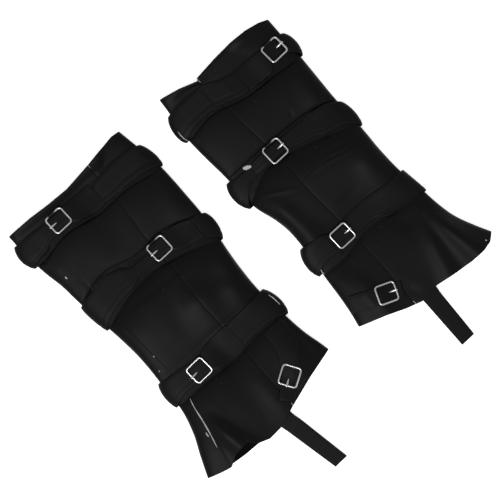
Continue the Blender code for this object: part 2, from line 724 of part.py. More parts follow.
def make_ankle_strap(cover, tree):
    """The strap at the hem, a strip laid on the front."""
    stops = []
    for before, after in zip(cover.ankle, cover.ankle[1:]):
        stops += [before, Stop(*(blend(a, b, 0.5) for a, b in zip(before, after)))]
    stops.append(cover.ankle[-1])
    lines = [[], [], []]
    for number, stop in enumerate(stops):
        before = stops[max(number - 1, 0)]
        after = stops[min(number + 1, len(stops) - 1)]
        run = Vector((after.across - before.across, after.along - before.along)).normalized()
        for line, side in zip(lines, (-0.5, 0.0, 0.5)):
            across = stop.across - run.y * stop.width * side
            along = stop.along + run.x * stop.width * side
            line.append(Vector((across, along, rest_height(tree, across, along) + ANKLE_GAP)))
    raised = [[p + Vector((0.0, 0.0, ANKLE_WALL)) for p in line] for line in lines]
    vertices, faces = sheet_solid(lines, raised)
    mesh_object(f"{cover.name}_ankle_strap", vertices, faces, STRAP_CLOTH, cover)


def make_stirrup(cover):
    """The stirrup: one strap folded back on itself, with its two ends inside the hem."""
    root, hem, clear, before_tip, tip = cover.stirrup
    inside_low = PANEL_WALL + INSIDE_GAP + STIRRUP_WALL / 2
    inside_high = inside_low + STIRRUP_WALL + INSIDE_GAP
    floor_low = STIRRUP_WALL / 2
    floor_high = floor_low + STIRRUP_WALL + STIRRUP_LAYER_GAP
    path = [(root, inside_high), (hem, inside_high), (clear, floor_high)]
    for share in (0.33, 0.66):
        path.append((Stop(*(blend(a, b, share) for a, b in zip(clear, before_tip))), floor_high))
    path.append((before_tip, floor_high))
    bend = (floor_high - floor_low) / 2
    for step in range(STIRRUP_BEND_STEPS + 1):
        angle = math.pi * (0.5 - step / STIRRUP_BEND_STEPS)
        reach = bend * STIRRUP_BEND_LENGTH * math.cos(angle)
        turn = Stop(tip.across, tip.along - reach, tip.width)
        path.append((turn, (floor_low + floor_high) / 2 + bend * math.sin(angle)))
    path.append((before_tip, floor_low))
    for share in (0.34, 0.67):
        path.append((Stop(*(blend(b, a, share) for a, b in zip(clear, before_tip))), floor_low))
    path += [(clear, floor_low), (hem, inside_low), (root, inside_low)]
    inner = [[], [], []]
    outer = [[], [], []]
    for number, (stop, level) in enumerate(path):
        before, level_before = path[max(number - 1, 0)]
        after, level_after = path[min(number + 1, len(path) - 1)]
        run = Vector((0.0, after.along - before.along, level_after - level_before)).normalized()
        normal = Vector((0.0, run.z, -run.y))
        for line, side in enumerate((-0.5, 0.0, 0.5)):
            spot = Vector((stop.across + stop.width * side, stop.along, level))
            inner[line].append(spot - normal * STIRRUP_WALL / 2)
            outer[line].append(spot + normal * STIRRUP_WALL / 2)
    vertices, faces = sheet_solid(inner, outer)
    mesh_object(f"{cover.name}_stirrup", vertices, faces, STRAP_CLOTH, cover)


def buckle_frame_points():
    """Centre line of a square buckle frame with round corners, in its own plane."""
    half_x = (BUCKLE_LENGTH - BUCKLE_WIRE) / 2
    half_y = (BUCKLE_WIDTH - BUCKLE_WIRE) / 2
    points = []
    for corner, (side_x, side_y) in enumerate(((1, 1), (-1, 1), (-1, -1), (1, -1))):
        centre = Vector((side_x * (half_x - BUCKLE_CORNER), side_y * (half_y - BUCKLE_CORNER), 0.0))
        for step in range(BUCKLE_CORNER_STEPS + 1):
            angle = math.pi / 2 * (corner + step / BUCKLE_CORNER_STEPS)
            points.append(centre + Vector((math.cos(angle), math.sin(angle), 0.0)) * BUCKLE_CORNER)
    return points


def buckle_seat(buckle, tree):
    """Centre and axes of a buckle that rests on what lies under its frame."""
    turn = math.radians(buckle.turn)
    ahead = Vector((math.cos(turn), math.sin(turn), 0.0))
    beside = Vector((-math.sin(turn), math.cos(turn), 0.0))
    centre = Vector((buckle.across, buckle.along, 0.0))

    def level(point):
        return drop_on(tree, point.x, point.y)

    half = (BUCKLE_LENGTH - BUCKLE_WIRE) / 2
    slope_ahead = (level(centre + ahead * half) - level(centre - ahead * half)) / (2 * half)
    slope_beside = (level(centre + beside * half) - level(centre - beside * half)) / (2 * half)
    slope_beside = min(max(slope_beside, -BUCKLE_TILT_LIMIT), BUCKLE_TILT_LIMIT)
    normal = (Vector((0.0, 0.0, 1.0)) - ahead * slope_ahead - beside * slope_beside).normalized()
    ahead = (ahead - normal * ahead.dot(normal)).normalized()
    beside = normal.cross(ahead)
    rise = 0.0
    for point in buckle_frame_points():
        for scale in (0.9, 1.0, 1.1):
            spot = centre + ahead * point.x * scale + beside * point.y * scale
            rise = max(rise, level(spot) - spot.z)
    for share in (-0.8, -0.4, 0.0, 0.4, 0.8):
        for side in (-1, 1):
            spot = centre + ahead * half * side + beside * half * share
            rise = max(rise, level(spot) - spot.z)
    centre.z = rise + INSIDE_GAP + BUCKLE_WIRE / 2
    return centre, ahead, beside, normal


def make_buckle(cover, number, buckle, tree):
    """A square wire frame and its prong, which hooks round the frame's bar."""
    centre, ahead, beside, normal = buckle_seat(buckle, tree)
    path = buckle_frame_points()
    vertices = []
    faces = []
    radius = BUCKLE_WIRE / 2
    count = len(path)
    for index, point in enumerate(path):
        run = (path[(index + 1) % count] - path[index - 1]).normalized()
        outward = Vector((run.y, -run.x, 0.0))
        for side in range(BUCKLE_SIDES):
            angle = 2 * math.pi * (side + 0.5) / BUCKLE_SIDES
            flat = point + outward * radius * math.cos(angle)
            vertices.append(centre + ahead * flat.x + beside * flat.y
                            + normal * radius * math.sin(angle))
    for index in range(count):
        for side in range(BUCKLE_SIDES):
            a = index * BUCKLE_SIDES + side
            b = index * BUCKLE_SIDES + (side + 1) % BUCKLE_SIDES
            after = ((index + 1) % count) * BUCKLE_SIDES
            faces.append((a, b, after + (side + 1) % BUCKLE_SIDES, after + side))
    mesh_object(f"{cover.name}_buckle_{number}", vertices, faces, CHROME, cover)

    bar = -(BUCKLE_LENGTH - BUCKLE_WIRE) / 2
    hook = radius + PRONG_GAP
    profile = []
    for degrees in PRONG_HOOK_ANGLES:
        angle = math.radians(degrees)
        direction = Vector((math.cos(angle), math.sin(angle)))
        profile.append((Vector((bar, 0.0)) + direction * hook, direction))
    tip_angle = math.radians(PRONG_TIP_ANGLE)
    tip_direction = Vector((math.cos(tip_angle), math.sin(tip_angle)))
    knee = Vector((bar + hook + PRONG_REACH * PRONG_KNEE_SHARE, PRONG_KNEE_HEIGHT))
    profile.append((knee, tip_direction))
    profile.append((Vector((bar + hook + PRONG_REACH, PRONG_TIP_HEIGHT)), tip_direction))
    lower = []
    upper = []
    for side in (-0.5, 0.5):
        offset = centre + beside * PRONG_WIDTH * side
        lower.append([offset + ahead * p.x + normal * p.y for p, _ in profile])
        upper.append([offset + ahead * (p.x + d.x * PRONG_WALL) + normal * (p.y + d.y * PRONG_WALL)
                      for p, d in profile])
    vertices, faces = sheet_solid(lower, upper)
    mesh_object(f"{cover.name}_prong_{number}", vertices, faces, CHROME, cover)


def make_cover(cover):
    """One leg cover with all its pieces."""
    front_columns, wrap_columns = panel_columns(cover)
    make_panel(cover, "front_panel", front_columns)
    make_panel(cover, "wrap_panel", wrap_columns)
    cloth_tree = surface_tree(cover)
    for number, strap in enumerate(cover.straps, 1):
        make_strap(cover, number, strap, cloth_tree)
        make_tongue(cover, number, strap, cloth_tree)
    make_ankle_strap(cover, cloth_tree)
    make_stirrup(cover)
    dressed_tree = surface_tree(cover)
    for number, buckle in enumerate(cover.buckles, 1):
        make_buckle(cover, number, buckle, dressed_tree)


for each_cover in (LEFT_COVER, RIGHT_COVER):
    make_cover(each_cover)
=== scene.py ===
import math

import bpy
import numpy as np
from mathutils import Matrix, Vector


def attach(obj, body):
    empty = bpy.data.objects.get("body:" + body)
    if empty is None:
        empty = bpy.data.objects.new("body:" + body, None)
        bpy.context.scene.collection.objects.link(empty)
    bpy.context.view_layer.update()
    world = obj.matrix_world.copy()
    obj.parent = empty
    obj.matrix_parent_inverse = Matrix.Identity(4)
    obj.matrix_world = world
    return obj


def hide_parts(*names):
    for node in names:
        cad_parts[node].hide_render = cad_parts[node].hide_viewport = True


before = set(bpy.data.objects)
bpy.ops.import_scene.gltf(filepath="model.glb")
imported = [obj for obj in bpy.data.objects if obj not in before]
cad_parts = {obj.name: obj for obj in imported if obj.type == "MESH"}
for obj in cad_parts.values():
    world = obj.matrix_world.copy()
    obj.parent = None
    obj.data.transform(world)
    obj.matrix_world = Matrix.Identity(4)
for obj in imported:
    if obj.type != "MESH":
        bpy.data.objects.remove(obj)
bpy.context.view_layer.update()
print("frame loaded:", len(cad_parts), "nodes")

# Shapes are worked out in millimetres, x across a cover and y from hem to knee.
# place moves a cover to its spot beside the other one.
leftCover = {
    "name": "left", "place": (-116.8, 27.0), "closureOnBack": False, "tongueSide": 1,
    # along, left fold, closure edge, centre seam, right fold
    "sections": [
        (236, -110.0, -73.6, 34.0, 95.0), (214, -110.0, -76.8, 33.0, 98.0),
        (190, -109.5, -77.0, 31.5, 101.0), (162, -107.0, -78.0, 30.0, 104.0),
        (137, -103.0, -77.0, 28.0, 104.0), (111, -101.5, -76.5, 25.0, 103.0),
        (81, -99.0, -77.0, 24.0, 101.5), (40, -94.5, -78.0, 22.5, 96.0),
        (-3, -92.0, -77.0, 19.6, 90.0), (-48, -94.5, -75.0, 18.3, 87.0),
        (-94, -98.6, -79.0, 18.0, 90.0), (-129, -109.0, -86.0, 16.8, 93.5),
        (-158, -123.0, -93.5, 16.4, 99.5), (-196, -140.0, -101.0, 15.5, 106.0)],
    # knee edge and hem, front and back: across, along
    "knee": [(-110, 233.5), (-73, 232), (-41, 228.6), (-9, 226.8), (35, 231), (82, 237.6),
             (95, 236.2)],
    "kneeBack": [(-110, 233), (-41, 225), (35, 227), (95, 235.8)],
    "hem": [(-140, -184), (-116, -192), (-101, -196), (-85, -187), (-63, -185), (-54, -196),
            (-37, -203), (-16, -202), (14, -192), (59, -179), (105, -168.5)],
    "hemBack": [(-140, -184), (-116, -192), (-78, -197), (-37, -199), (14, -189), (59, -176),
                (105, -168)],
    # height of the tube where each stretch starts, from knee to hem, and its swell
    "heights": (20, 16, 16, 16, 16, 16, 16, 19),
    "swells": (1, 0, 6, 0, 10, 0, 6, 0),
    # x0, y0, x1, y1, width, rise, front panel only
    "folds": [
        (-84, -114, -68, -206, 14, 9, True), (2, -122, 8, -205, 17, 2, False),
        (78, -95, 85, -150, 10, -3, False), (54, -110, 58, -190, 14, 1.5, False),
        (22, 32, 18, -38, 28, 5.5, False), (64, 4, 62, -46, 18, 4, False),
        (84, 48, 84, -46, 18, 4, False), (93, 160, 91, 110, 16, 2, False),
        (60, 226, 45, 240, 22, 4, False)],
    # small creases: width, rise, then the points that each follows
    "wrinkles": [
        (5, -0.5, (-72, -118), (-66, -140), (-59, -164), (-48, -196)),
        (5, -1.2, (92, -100), (96, -130), (95, -147)),
        (2.5, -0.5, (-31, 105), (-21, 94)),
        (6, 0.8, (-92, 167), (-90, 150)),
        (4, 0.9, (-84, 124), (-83, 106)),
        (5, 1.0, (-85, 100), (-86, 72)),
        (4, 1.2, (-84, 52), (-83, 30)),
        (16, 0.8, (5, -118), (8, -155)),
        (22, 0.8, (14, 14), (8, -29)),
        (12, 0.6, (72, -10), (66, -42)),
        (5, -0.7, (-80, 55), (-22, 49), (45, 42)),
        (4, -0.5, (81, 158), (82, 131)),
        (4, -0.5, (85, 24), (83, 1)),
        (5, -0.6, (8, -170), (20, -178), (34, -182))],
    # straps: edge lines at five places across, loop stand-off, band ends and tongue
    # ends and tongue rows are across, upper edge, lower edge
    "straps": [
        {"upper": (220, 217, 216, 215, 206), "lower": (176, 183, 173, 172, 161),
         "stands": (11.0, 8.0),
         "leftEnd": [(-84, 216, 180), (-80, 215, 187), (-75, 214, 190), (-60, 213.5, 191.5),
                     (-36, 213.5, 192)],
         "rightEnd": [(75, 211, 173), (60, 212, 175), (34, 209.5, 176), (21, 208, 177),
                      (16.5, 202, 179)],
         "tongue": [(16, 212, 177), (-4, 213, 176.5), (-17, 213.5, 178), (-26, 213.5, 182),
                    (-33, 213.5, 189), (-37, 213, 192), (-60, 212.5, 192.5)]},
        {"upper": (100, 110, 98, 98, 80), "lower": (49, 63, 67, 55, 34),
         "stands": (6.0, 9.5),
         "leftEnd": [(-72, 104, 64), (-54, 108, 68), (-34, 102, 69), (-26, 98, 70),
                     (-22, 92, 75), (-10, 91, 73.5), (12, 91, 73.5), (34, 94.5, 73.5)],
         "rightEnd": [(83.5, 85, 51)],
         "tongue": [(83, 86, 54), (65, 93, 58), (50, 95, 61.5), (42, 95, 66), (37, 95, 72),
                    (12, 94.5, 74)]},
        {"upper": (-46, -48, -47, -48, -48), "lower": (-90, -90, -95, -91, -99),
         "stands": (9.0, 12.0),
         "leftEnd": [(-70, -51.5, -80), (-55, -54, -83), (-30, -58, -83)],
         "rightEnd": [(60, -50.5, -88), (42, -51, -88), (27, -51, -89.5), (23, -54, -88.5)],
         "tongue": [(22.5, -51, -91), (0, -50.5, -92.5), (-14, -52, -92), (-24, -54, -90),
                    (-29, -57, -86), (-34, -59.5, -83), (-56, -60, -82)]}],
    # ankle strap and stirrup rows are across, along, width
    "ankle": [(67, -92.8, 32), (67, -113, 33), (63, -129, 33), (53, -143, 27),
              (39, -158.5, 21.5), (25, -171, 22), (13, -182, 22)],
    "stirrup": [(-5, -176, 24), (-5, -198, 24), (-2, -214, 24), (9.5, -282, 21.8),
                (10.8, -289.5, 21.6)],
    "buckleTurns": (0, 0, 2, 30),
}

rightCover = {
    "name": "right", "place": (133.2, 27.0), "closureOnBack": True, "tongueSide": -1,
    "sections": [
        (230, -87.0, 48.0, -31.5, 93.0), (210, -89.0, 48.0, -30.5, 93.6),
        (183, -92.0, 48.0, -29.0, 92.6), (163, -95.0, 47.0, -28.0, 92.3),
        (132, -94.7, 46.0, -26.5, 91.0), (101, -93.0, 45.0, -24.0, 89.0),
        (68, -92.0, 44.0, -23.0, 87.0), (36, -91.0, 43.0, -22.0, 87.0),
        (6, -83.0, 42.0, -22.5, 86.0), (-19, -79.5, 41.0, -21.5, 84.5),
        (-61, -82.0, 42.0, -20.4, 85.0), (-97, -86.7, 44.0, -20.0, 89.0),
        (-130, -90.3, 47.0, -19.5, 92.5), (-154, -94.0, 52.0, -20.3, 97.5),
        (-182, -100.0, 62.0, -21.3, 109.0), (-212, -106.0, 74.0, -22.0, 124.0)],
    "knee": [(-87, 230), (-57, 222.4), (-31.6, 213), (-30.6, 216.7), (-12.7, 218.2), (5, 219.8),
             (34, 220.8), (60, 219), (80, 214.8), (93.6, 209.5)],
    "kneeBack": [(-87, 229.5), (-31, 210), (34, 212), (93.6, 208)],
    "hem": [(-100, -174.5), (-61, -188.5), (-35, -200), (-13, -207.5), (15, -205),
            (47, -210.5), (72, -213.4), (94, -213.6), (108, -211), (121, -201)],
    "hemBack": [(-100, -174), (-61, -185), (-13, -203), (47, -207), (94, -211), (121, -200)],
    "heights": (20, 16, 16, 16, 16, 16, 16, 19),
    "swells": (1, 0, 7, 0, 9, 0, 5, 0),
    "folds": [
        (73, -92, 84, -214, 13, 9, False), (80, -128, 100, -212, 13, 5, False),
        (62, -112, 38, -208, 10, 3.5, False), (-55, -110, -62, -190, 14, 4, False),
        (70, 16, 67, -52, 22, 4, False), (-72, 40, -68, -45, 14, 6, False),
        (80, 152, 78, 92, 18, 4, False), (30, 204, 60, 226, 24, 4, False)],
    "wrinkles": [
        (2.4, 0.8, (-23, 13), (-3, 19), (18, 16), (39, 9), (64, 3)),
        (2.2, 0.7, (-1, 25), (23, 22), (46, 15), (64, 11)),
        (2.2, 0.6, (31, 29), (50, 24), (76, 18)),
        (2.4, 0.6, (68, 4), (66, -15)),
        (2.6, 0.8, (-79, 50), (-60, 51)),
        (2.8, 0.8, (-83, 41), (-69, 39), (-53, 29), (-35, 18)),
        (2.5, -0.7, (-74, 54), (-61, 51)),
        (2.5, -0.6, (31, 100), (27, 92)),
        (4, -0.9, (-7, -34), (24, -40)),
        (14, -1.2, (45, -104), (43, -130)),
        (10, 1.0, (-72, -104), (-74, -147)),
        (12, 0.5, (56, -4), (54, -40)),
        (6, 0.6, (-4, 214), (50, 212)),
        (8, -1.0, (-16, -178), (-10, -200))],
    "straps": [
        {"upper": (207, 211, 194, 190, 184), "lower": (161, 167, 153, 148, 141),
         "stands": (12.0, 9.5),
         "leftEnd": [(-70, 207, 172), (-44, 206, 170), (-28, 203.5, 165), (-10, 194, 160),
                     (6, 189.5, 156), (11, 187, 158)],
         "rightEnd": [(85, 185, 157), (73, 185.5, 160), (58, 186, 163)],
         "tongue": [(11.5, 189, 155), (26, 188, 151.5), (36, 187.5, 150.5), (47, 187, 153),
                    (55, 186.5, 158), (59, 186, 163), (81, 185, 164)]},
        {"upper": (88, 88, 86, 81, 64), "lower": (38, 62, 56, 38, 18),
         "stands": (14.0, 8.0),
         "leftEnd": [(-77, 83, 60), (-72, 81.5, 65.5), (-60, 82, 66)],
         "rightEnd": [(62, 77, 40), (48, 79, 42), (41, 79.5, 44), (36, 80, 51), (27, 80.5, 54),
                      (10, 81.5, 59), (-6, 82.5, 63), (-32, 83.5, 65)],
         "tongue": [(-59.5, 82, 66.5), (-45, 83.5, 66), (-33, 84, 65.5), (-6, 82, 64.5)]},
        {"upper": (-44, -47, -50, -55, -59), "lower": (-92, -95, -87, -98, -105),
         "stands": (13.0, 4.5),
         "leftEnd": [(-70, -47.5, -81), (-60, -49.5, -81.5), (-50, -51, -82)],
         "rightEnd": [(62, -59.5, -95), (36, -56, -94.5), (28, -55, -91), (21, -54, -85),
                      (8, -54, -81.5), (-16, -55, -82.5), (-46, -57, -82.5)],
         "tongue": [(-49.5, -52, -90.5), (-46, -56, -84), (-18, -57.5, -82.5)]}],
    "ankle": [(-87, -145.7, 24), (-61, -158, 24), (-41, -166.5, 22), (-20, -176.5, 21)],
    "stirrup": [(3, -180, 26), (2, -203, 26), (1, -218, 24.5), (-2, -280, 22.2),
                (-2.4, -286, 22)],
    "buckleTurns": (182, 180, 180, 157),
}

cloth = {
    "wall": 1.2, "foldRise": 5.2, "crownPower": 4.0, "flatPower": 6.0, "backLift": 2.15,
    "liftRamp": 14.0, "swellPowers": (1, 1, 0.4, 1, 0.9, 1, 0.8), "crestShare": 0.72,
    "spreadPower": 5, "seamValley": 0.35, "seamValleyWidth": 8.0, "seamPinch": 0.1,
    "seamGap": 0.1, "lapLift": 1.9, "lapWidth": 24.0, "lapStart": 0.25, "lapRamp": 0.6,
    "lapDip": 0.6, "lapDipWidth": 1.2, "insideLapLift": 2.2, "insideLapRamp": 16,
    "guidePlaces": (-100.0, -50.0, 0.0, 50.0, 100.0), "backBlend": 25.0,
    "rowsPerStretch": (8, 20, 48, 20, 54, 20, 56), "kneeY": 230, "length": 430,
    "wornWidth": 2.2, "kneeOpen": 0.35, "hemOpen": 2, "hemFree": 4, "midFree": 2.5,
    "leastInner": 0.3, "restSteps": ((-4, 0, 4), (-3, 0, 3)),
}


def ease(t):
    # smooth rise from 0 to 1: 3 t^2 - 2 t^3
    t = np.clip(t, 0.0, 1.0)
    return t * t * (3.0 - 2.0 * t)


def mix(low, high, share):
    # the value a share of the way from low to high
    return low + (high - low) * share


def bump(distance, width):
    # bell: exp(-(distance / width)^2)
    return np.exp(-(distance / width) ** 2)


def smoothCurve(places, values, at):
    # cubic through the given values, with the slope at each taken from its two neighbours
    places, values = np.asarray(places, float), np.asarray(values, float)
    order = np.argsort(places)
    places, values = places[order], values[order]
    low = np.maximum(np.arange(len(places)) - 1, 0)
    high = np.minimum(np.arange(len(places)) + 1, len(places) - 1)
    slopes = (values[high] - values[low]) / (places[high] - places[low])
    at = np.clip(at, places[0], places[-1])
    i = np.clip(np.searchsorted(places, at) - 1, 0, len(places) - 2)
    span = places[i + 1] - places[i]
    t = (at - places[i]) / span
    return (values[i] * (1 + 2 * t) * (1 - t) ** 2 + values[i + 1] * t * t * (3 - 2 * t)
            + span * t * (1 - t) * (slopes[i] * (1 - t) - slopes[i + 1] * t))


def passedAlong(points):
    # distance passed at each point of a line: running sum of its steps
    return np.concatenate([[0], np.cumsum(np.linalg.norm(np.diff(points, axis=0), axis=1))])


def lineAt(cover, column, y):
    # where a lengthwise line of the cover lies: cubic through its sections
    number = ("along", "left", "closure", "seam", "right").index(column)
    rows = np.array(cover["sections"])
    return smoothCurve(rows[:, 0], rows[:, number], y)


def edgeAt(rows, x):
    # straight reading of a table of (across, along)
    rows = np.array(rows)
    return np.interp(x, rows[:, 0], rows[:, 1])


def reachAt(cover, x, y):
    # share of the way from the tube's middle line to a fold: 0 in the middle, 1 at both folds
    left, right = lineAt(cover, "left", y), lineAt(cover, "right", y)
    return np.clip(np.abs(x - (left + right) / 2) * 2 / (right - left), 0, 1)


def crossLines(cover, x, y, onBack):
    # knee edge, both edges of each strap and hem at x; on the back the strap lines run
    # straight from fold to fold, and within backBlend of a fold they join the front ones
    def frontLine(guide):
        return smoothCurve(cloth["guidePlaces"], guide, x)

    def backLine(guide):
        return mix(guide[0], guide[-1], np.clip((x + 100) / 200, 0, 1))

    guides = [strap[edge] for strap in cover["straps"] for edge in ("upper", "lower")]
    front = np.stack([edgeAt(cover["knee"], x), *map(frontLine, guides), edgeAt(cover["hem"], x)])
    if not onBack:
        return front
    back = np.stack([edgeAt(cover["kneeBack"], x), *map(backLine, guides),
                     edgeAt(cover["hemBack"], x)])
    fromFold = np.minimum(x - lineAt(cover, "left", y), lineAt(cover, "right", y) - x)
    return mix(front, back, ease(fromFold / cloth["backBlend"]))


def stretchOf(lines, y):
    # number of the stretch between two cross lines that holds y, and the share of it passed
    number = sum((y < lines[k]).astype(int) for k in range(1, 7))
    top = np.take_along_axis(lines, number[None], 0)[0]
    low = np.take_along_axis(lines, number[None] + 1, 0)[0]
    return number, np.clip((top - y) / (top - low), 0, 1)


def strapLift(lines, y):
    # the tube is lifted over a strap that passes under it, and comes down beside it
    away = np.full_like(y, 1e3)
    for k in (1, 3, 5):
        outside = np.maximum(y - lines[k], lines[k + 1] - y)
        away = np.minimum(away, np.maximum(outside, 0))
    return cloth["backLift"] * (1 - ease(away / cloth["liftRamp"]))


folds = {"widthShares": (0.7, 1.25), "growth": 0.55}


def foldHeights(cover, x, y, onFrontPanel):
    # large folds: rise * eased share of the line passed * bell past its end * bell beside it,
    # which widens along the line
    total = np.zeros_like(x)
    for x0, y0, x1, y1, width, rise, frontOnly in cover["folds"]:
        if frontOnly and not onFrontPanel:
            continue
        runX, runY = x1 - x0, y1 - y0
        length = math.hypot(runX, runY)
        share = ((x - x0) * runX + (y - y0) * runY) / length ** 2
        beside = ((x - x0) * runY - (y - y0) * runX) / length
        past = np.maximum(share - 1, 0) * length
        wide = width * mix(*folds["widthShares"], np.clip(share, 0, 1))
        total += rise * ease(share / folds["growth"]) * bump(past, width) * bump(beside, wide)
    return total


creases = {"fadePlaces": (0.06, 0.94), "fadePower": 0.7, "sideShare": 0.35,
           "sideStretch": 0.8, "sideAway": 1.7}


def wrinkleHeights(rows, x, y):
    # small creases: rise * (bell across the line - a shallower bell on its other side),
    # fading as a sine to both ends of the line
    total = np.zeros_like(x)
    for width, rise, *points in rows:
        points = np.array(points, float)
        passed = passedAlong(points)
        near = np.full_like(x, 1e3)
        signed = np.full_like(x, 1e3)
        place = np.zeros_like(x)
        for start, step, before in zip(points, np.diff(points, axis=0), passed):
            length = math.hypot(*step)
            t = np.clip(((x - start[0]) * step[0] + (y - start[1]) * step[1]) / length ** 2, 0, 1)
            offX, offY = x - start[0] - t * step[0], y - start[1] - t * step[1]
            distance = np.hypot(offX, offY)
            closer = distance < near
            near = np.where(closer, distance, near)
            signed = np.where(closer, (offX * step[1] - offY * step[0]) / length, signed)
            place = np.where(closer, (before + t * length) / passed[-1], place)
        fade = np.sin(math.pi * mix(*creases["fadePlaces"], place)) ** creases["fadePower"]
        side = bump(np.hypot(near * creases["sideStretch"],
                             signed - creases["sideAway"] * width), width)
        total += rise * fade * (bump(near, width) - creases["sideShare"] * side)
    return total


def slackHeights(x, y):
    # gentle unevenness of soft cloth: a few sines of different lengths and directions
    return (0.16 * np.sin(x / 13.0 + 1.4 * np.sin(y / 31.0)) * np.sin(y / 19.0 + 0.8)
            + 0.07 * np.sin(x / 7.5 - y / 12.0 + 2.0) * np.sin(y / 27.0 + x / 40.0))


def tubeTop(cover, x, y, onFrontPanel=True, fine=True):
    # upper side of the flattened tube: fold + (height - fold) * (1 - reach^p)^(1 / p) with p
    # the crown power, the folds and wrinkles added and the centre seam's valley taken off;
    # each free stretch swells as a power of a sine whose crest lies nearer the strap above it
    lines = crossLines(cover, x, y, False)
    number, share = stretchOf(lines, y)
    heights, swells = np.array(cover["heights"], float), np.array(cover["swells"], float)
    powers = np.array(cloth["swellPowers"])[number]
    swell = swells[number] * np.sin(math.pi * share ** cloth["crestShare"]) ** powers
    height = mix(heights[number], heights[number + 1], ease(share)) + swell
    reach = reachAt(cover, x, y)
    fold = strapLift(lines, y) + cloth["foldRise"]
    crown = (1 - reach ** cloth["crownPower"]) ** (1 / cloth["crownPower"])
    level = fold + (height - fold) * crown
    spread = 1 - reach ** cloth["spreadPower"]
    level += foldHeights(cover, x, y, onFrontPanel) * spread
    atStrap = (number % 2 == 1)
    sine = np.sin(math.pi * share)
    # how far the cloth is free of a strap's pull, first for the valley, then for the creases
    atKnee, atHem = number == 0, number == 6
    opened = np.where(atHem, ease(share * cloth["hemOpen"]), sine)
    opened = np.where(atKnee, cloth["kneeOpen"] * (1 - ease(share)),
                      np.where(atStrap, 0, opened))
    beside = x - lineAt(cover, "seam", y)
    level -= cloth["seamValley"] * mix(cloth["seamPinch"], 1, opened) * bump(
        beside, cloth["seamValleyWidth"])
    if fine:
        free = np.where(atHem, ease(share * cloth["hemFree"]), ease(sine * cloth["midFree"]))
        free = np.where(atKnee, 1 - ease(share), np.where(atStrap, 0, free))
        level += wrinkleHeights(cover["wrinkles"], x, y) * spread
        level += slackHeights(x, y) * spread * free
    return level


relief = {
    "ridge": 0.03, "ridgeAway": 4.2, "ridgeWidth": 1.6, "groove": 0.3, "grooveWidth": 0.9,
    "hemAway": 6.5, "kneeAway": 6.0, "seamStitchAway": 2.6,
}


def seamRelief(cover, x, y):
    # bell beside the seam for its topstitched ridge, less a bell in it where the cloth's
    # edge turns down
    away = np.abs(x - lineAt(cover, "seam", y))
    return (relief["ridge"] * bump(away - relief["ridgeAway"], relief["ridgeWidth"])
            - relief["groove"] * bump(away, relief["grooveWidth"]))


def hemRelief(cover, x, y):
    # a bell-shaped groove inside the knee edge and another inside the hem, at the stitching
    lines = crossLines(cover, x, y, False)
    hem = bump(y - lines[-1] - relief["hemAway"], relief["grooveWidth"])
    knee = bump(lines[0] - y - relief["kneeAway"], relief["grooveWidth"])
    return -relief["groove"] * (hem + knee)


def tubeBase(cover, x, y):
    # under side of the tube, flat and turned up at both folds: lift + foldRise *
    # (1 - (1 - reach^q)^(1 / q)) with q the flat power
    lift = strapLift(crossLines(cover, x, y, True), y)
    power = cloth["flatPower"]
    return lift + cloth["foldRise"] * (1 - (1 - reachAt(cover, x, y) ** power) ** (1 / power))


def lapOn(cover, x, y):
    # lift of the front panel, which rises off the wrap panel towards the closure edge: an
    # eased rise, less a bell at the edge itself
    if cover["closureOnBack"]:
        return np.zeros_like(x)
    seam, closure = lineAt(cover, "seam", y), lineAt(cover, "closure", y)
    share = (seam - x) / (seam - closure - cloth["lapWidth"])
    rise = (cloth["lapLift"] * ease((share - cloth["lapStart"]) / cloth["lapRamp"])
            - cloth["lapDip"] * bump(x - closure, cloth["lapDipWidth"]))
    # half a millimetre of slack, so that the edge column itself is lifted too
    return np.where((x < seam) & (x > closure - 0.5), rise, 0)


def clothTop(cover, x, y, fine=True):
    # height of whatever panel lies uppermost: tube + lap
    return tubeTop(cover, x, y, True, fine) + lapOn(cover, x, y)


def restHeight(cover, x, y):
    # highest cloth near a point, so that a stiff strip clears it
    level = clothTop(cover, x, y)
    stepsX, stepsY = cloth["restSteps"]
    for stepX in stepsX:
        for stepY in stepsY:
            level = np.maximum(level, clothTop(cover, x + stepX, y + stepY, False))
    return level


def gridNormals(grid):
    # unit normals of a grid of points: the cross product of its two runs
    down, across = np.gradient(grid, axis=0), np.gradient(grid, axis=1)
    normals = np.cross(down, across)
    return normals / np.maximum(np.linalg.norm(normals, axis=2, keepdims=True), 1e-9)


def putMesh(name, cover, points, faces, materials, marks=None, insideFaces=0, sharp=55):
    # one object from points in millimetres, its faces turned outwards if the volume that they
    # hold is negative; the first insideFaces faces take the second material
    points = np.asarray(points, float).reshape(-1, 3)
    corners = points[faces[:, :3]]
    if np.einsum("ij,ij->i", corners[:, 0], np.cross(corners[:, 1], corners[:, 2])).sum() < 0:
        faces = faces[:, ::-1]
    placed = (points + (*cover["place"], 0.0)) * 0.001
    mesh = bpy.data.meshes.new(name)
    mesh.from_pydata(placed.tolist(), [], faces.tolist())
    for material in materials:
        mesh.materials.append(material)
    slots = np.zeros(len(faces), int)
    slots[:insideFaces] = min(1, len(materials) - 1)
    mesh.polygons.foreach_set("material_index", slots)
    for label, values in (marks or {}).items():
        mark = mesh.attributes.new(label, "FLOAT", "POINT")
        mark.data.foreach_set("value", np.ascontiguousarray(values, np.float32).ravel())
    mesh.shade_smooth()
    mesh.set_sharp_from_angle(angle=math.radians(sharp))
    mesh.validate()
    made = bpy.data.objects.new(name, mesh)
    bpy.context.scene.collection.objects.link(made)
    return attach(made, "root")


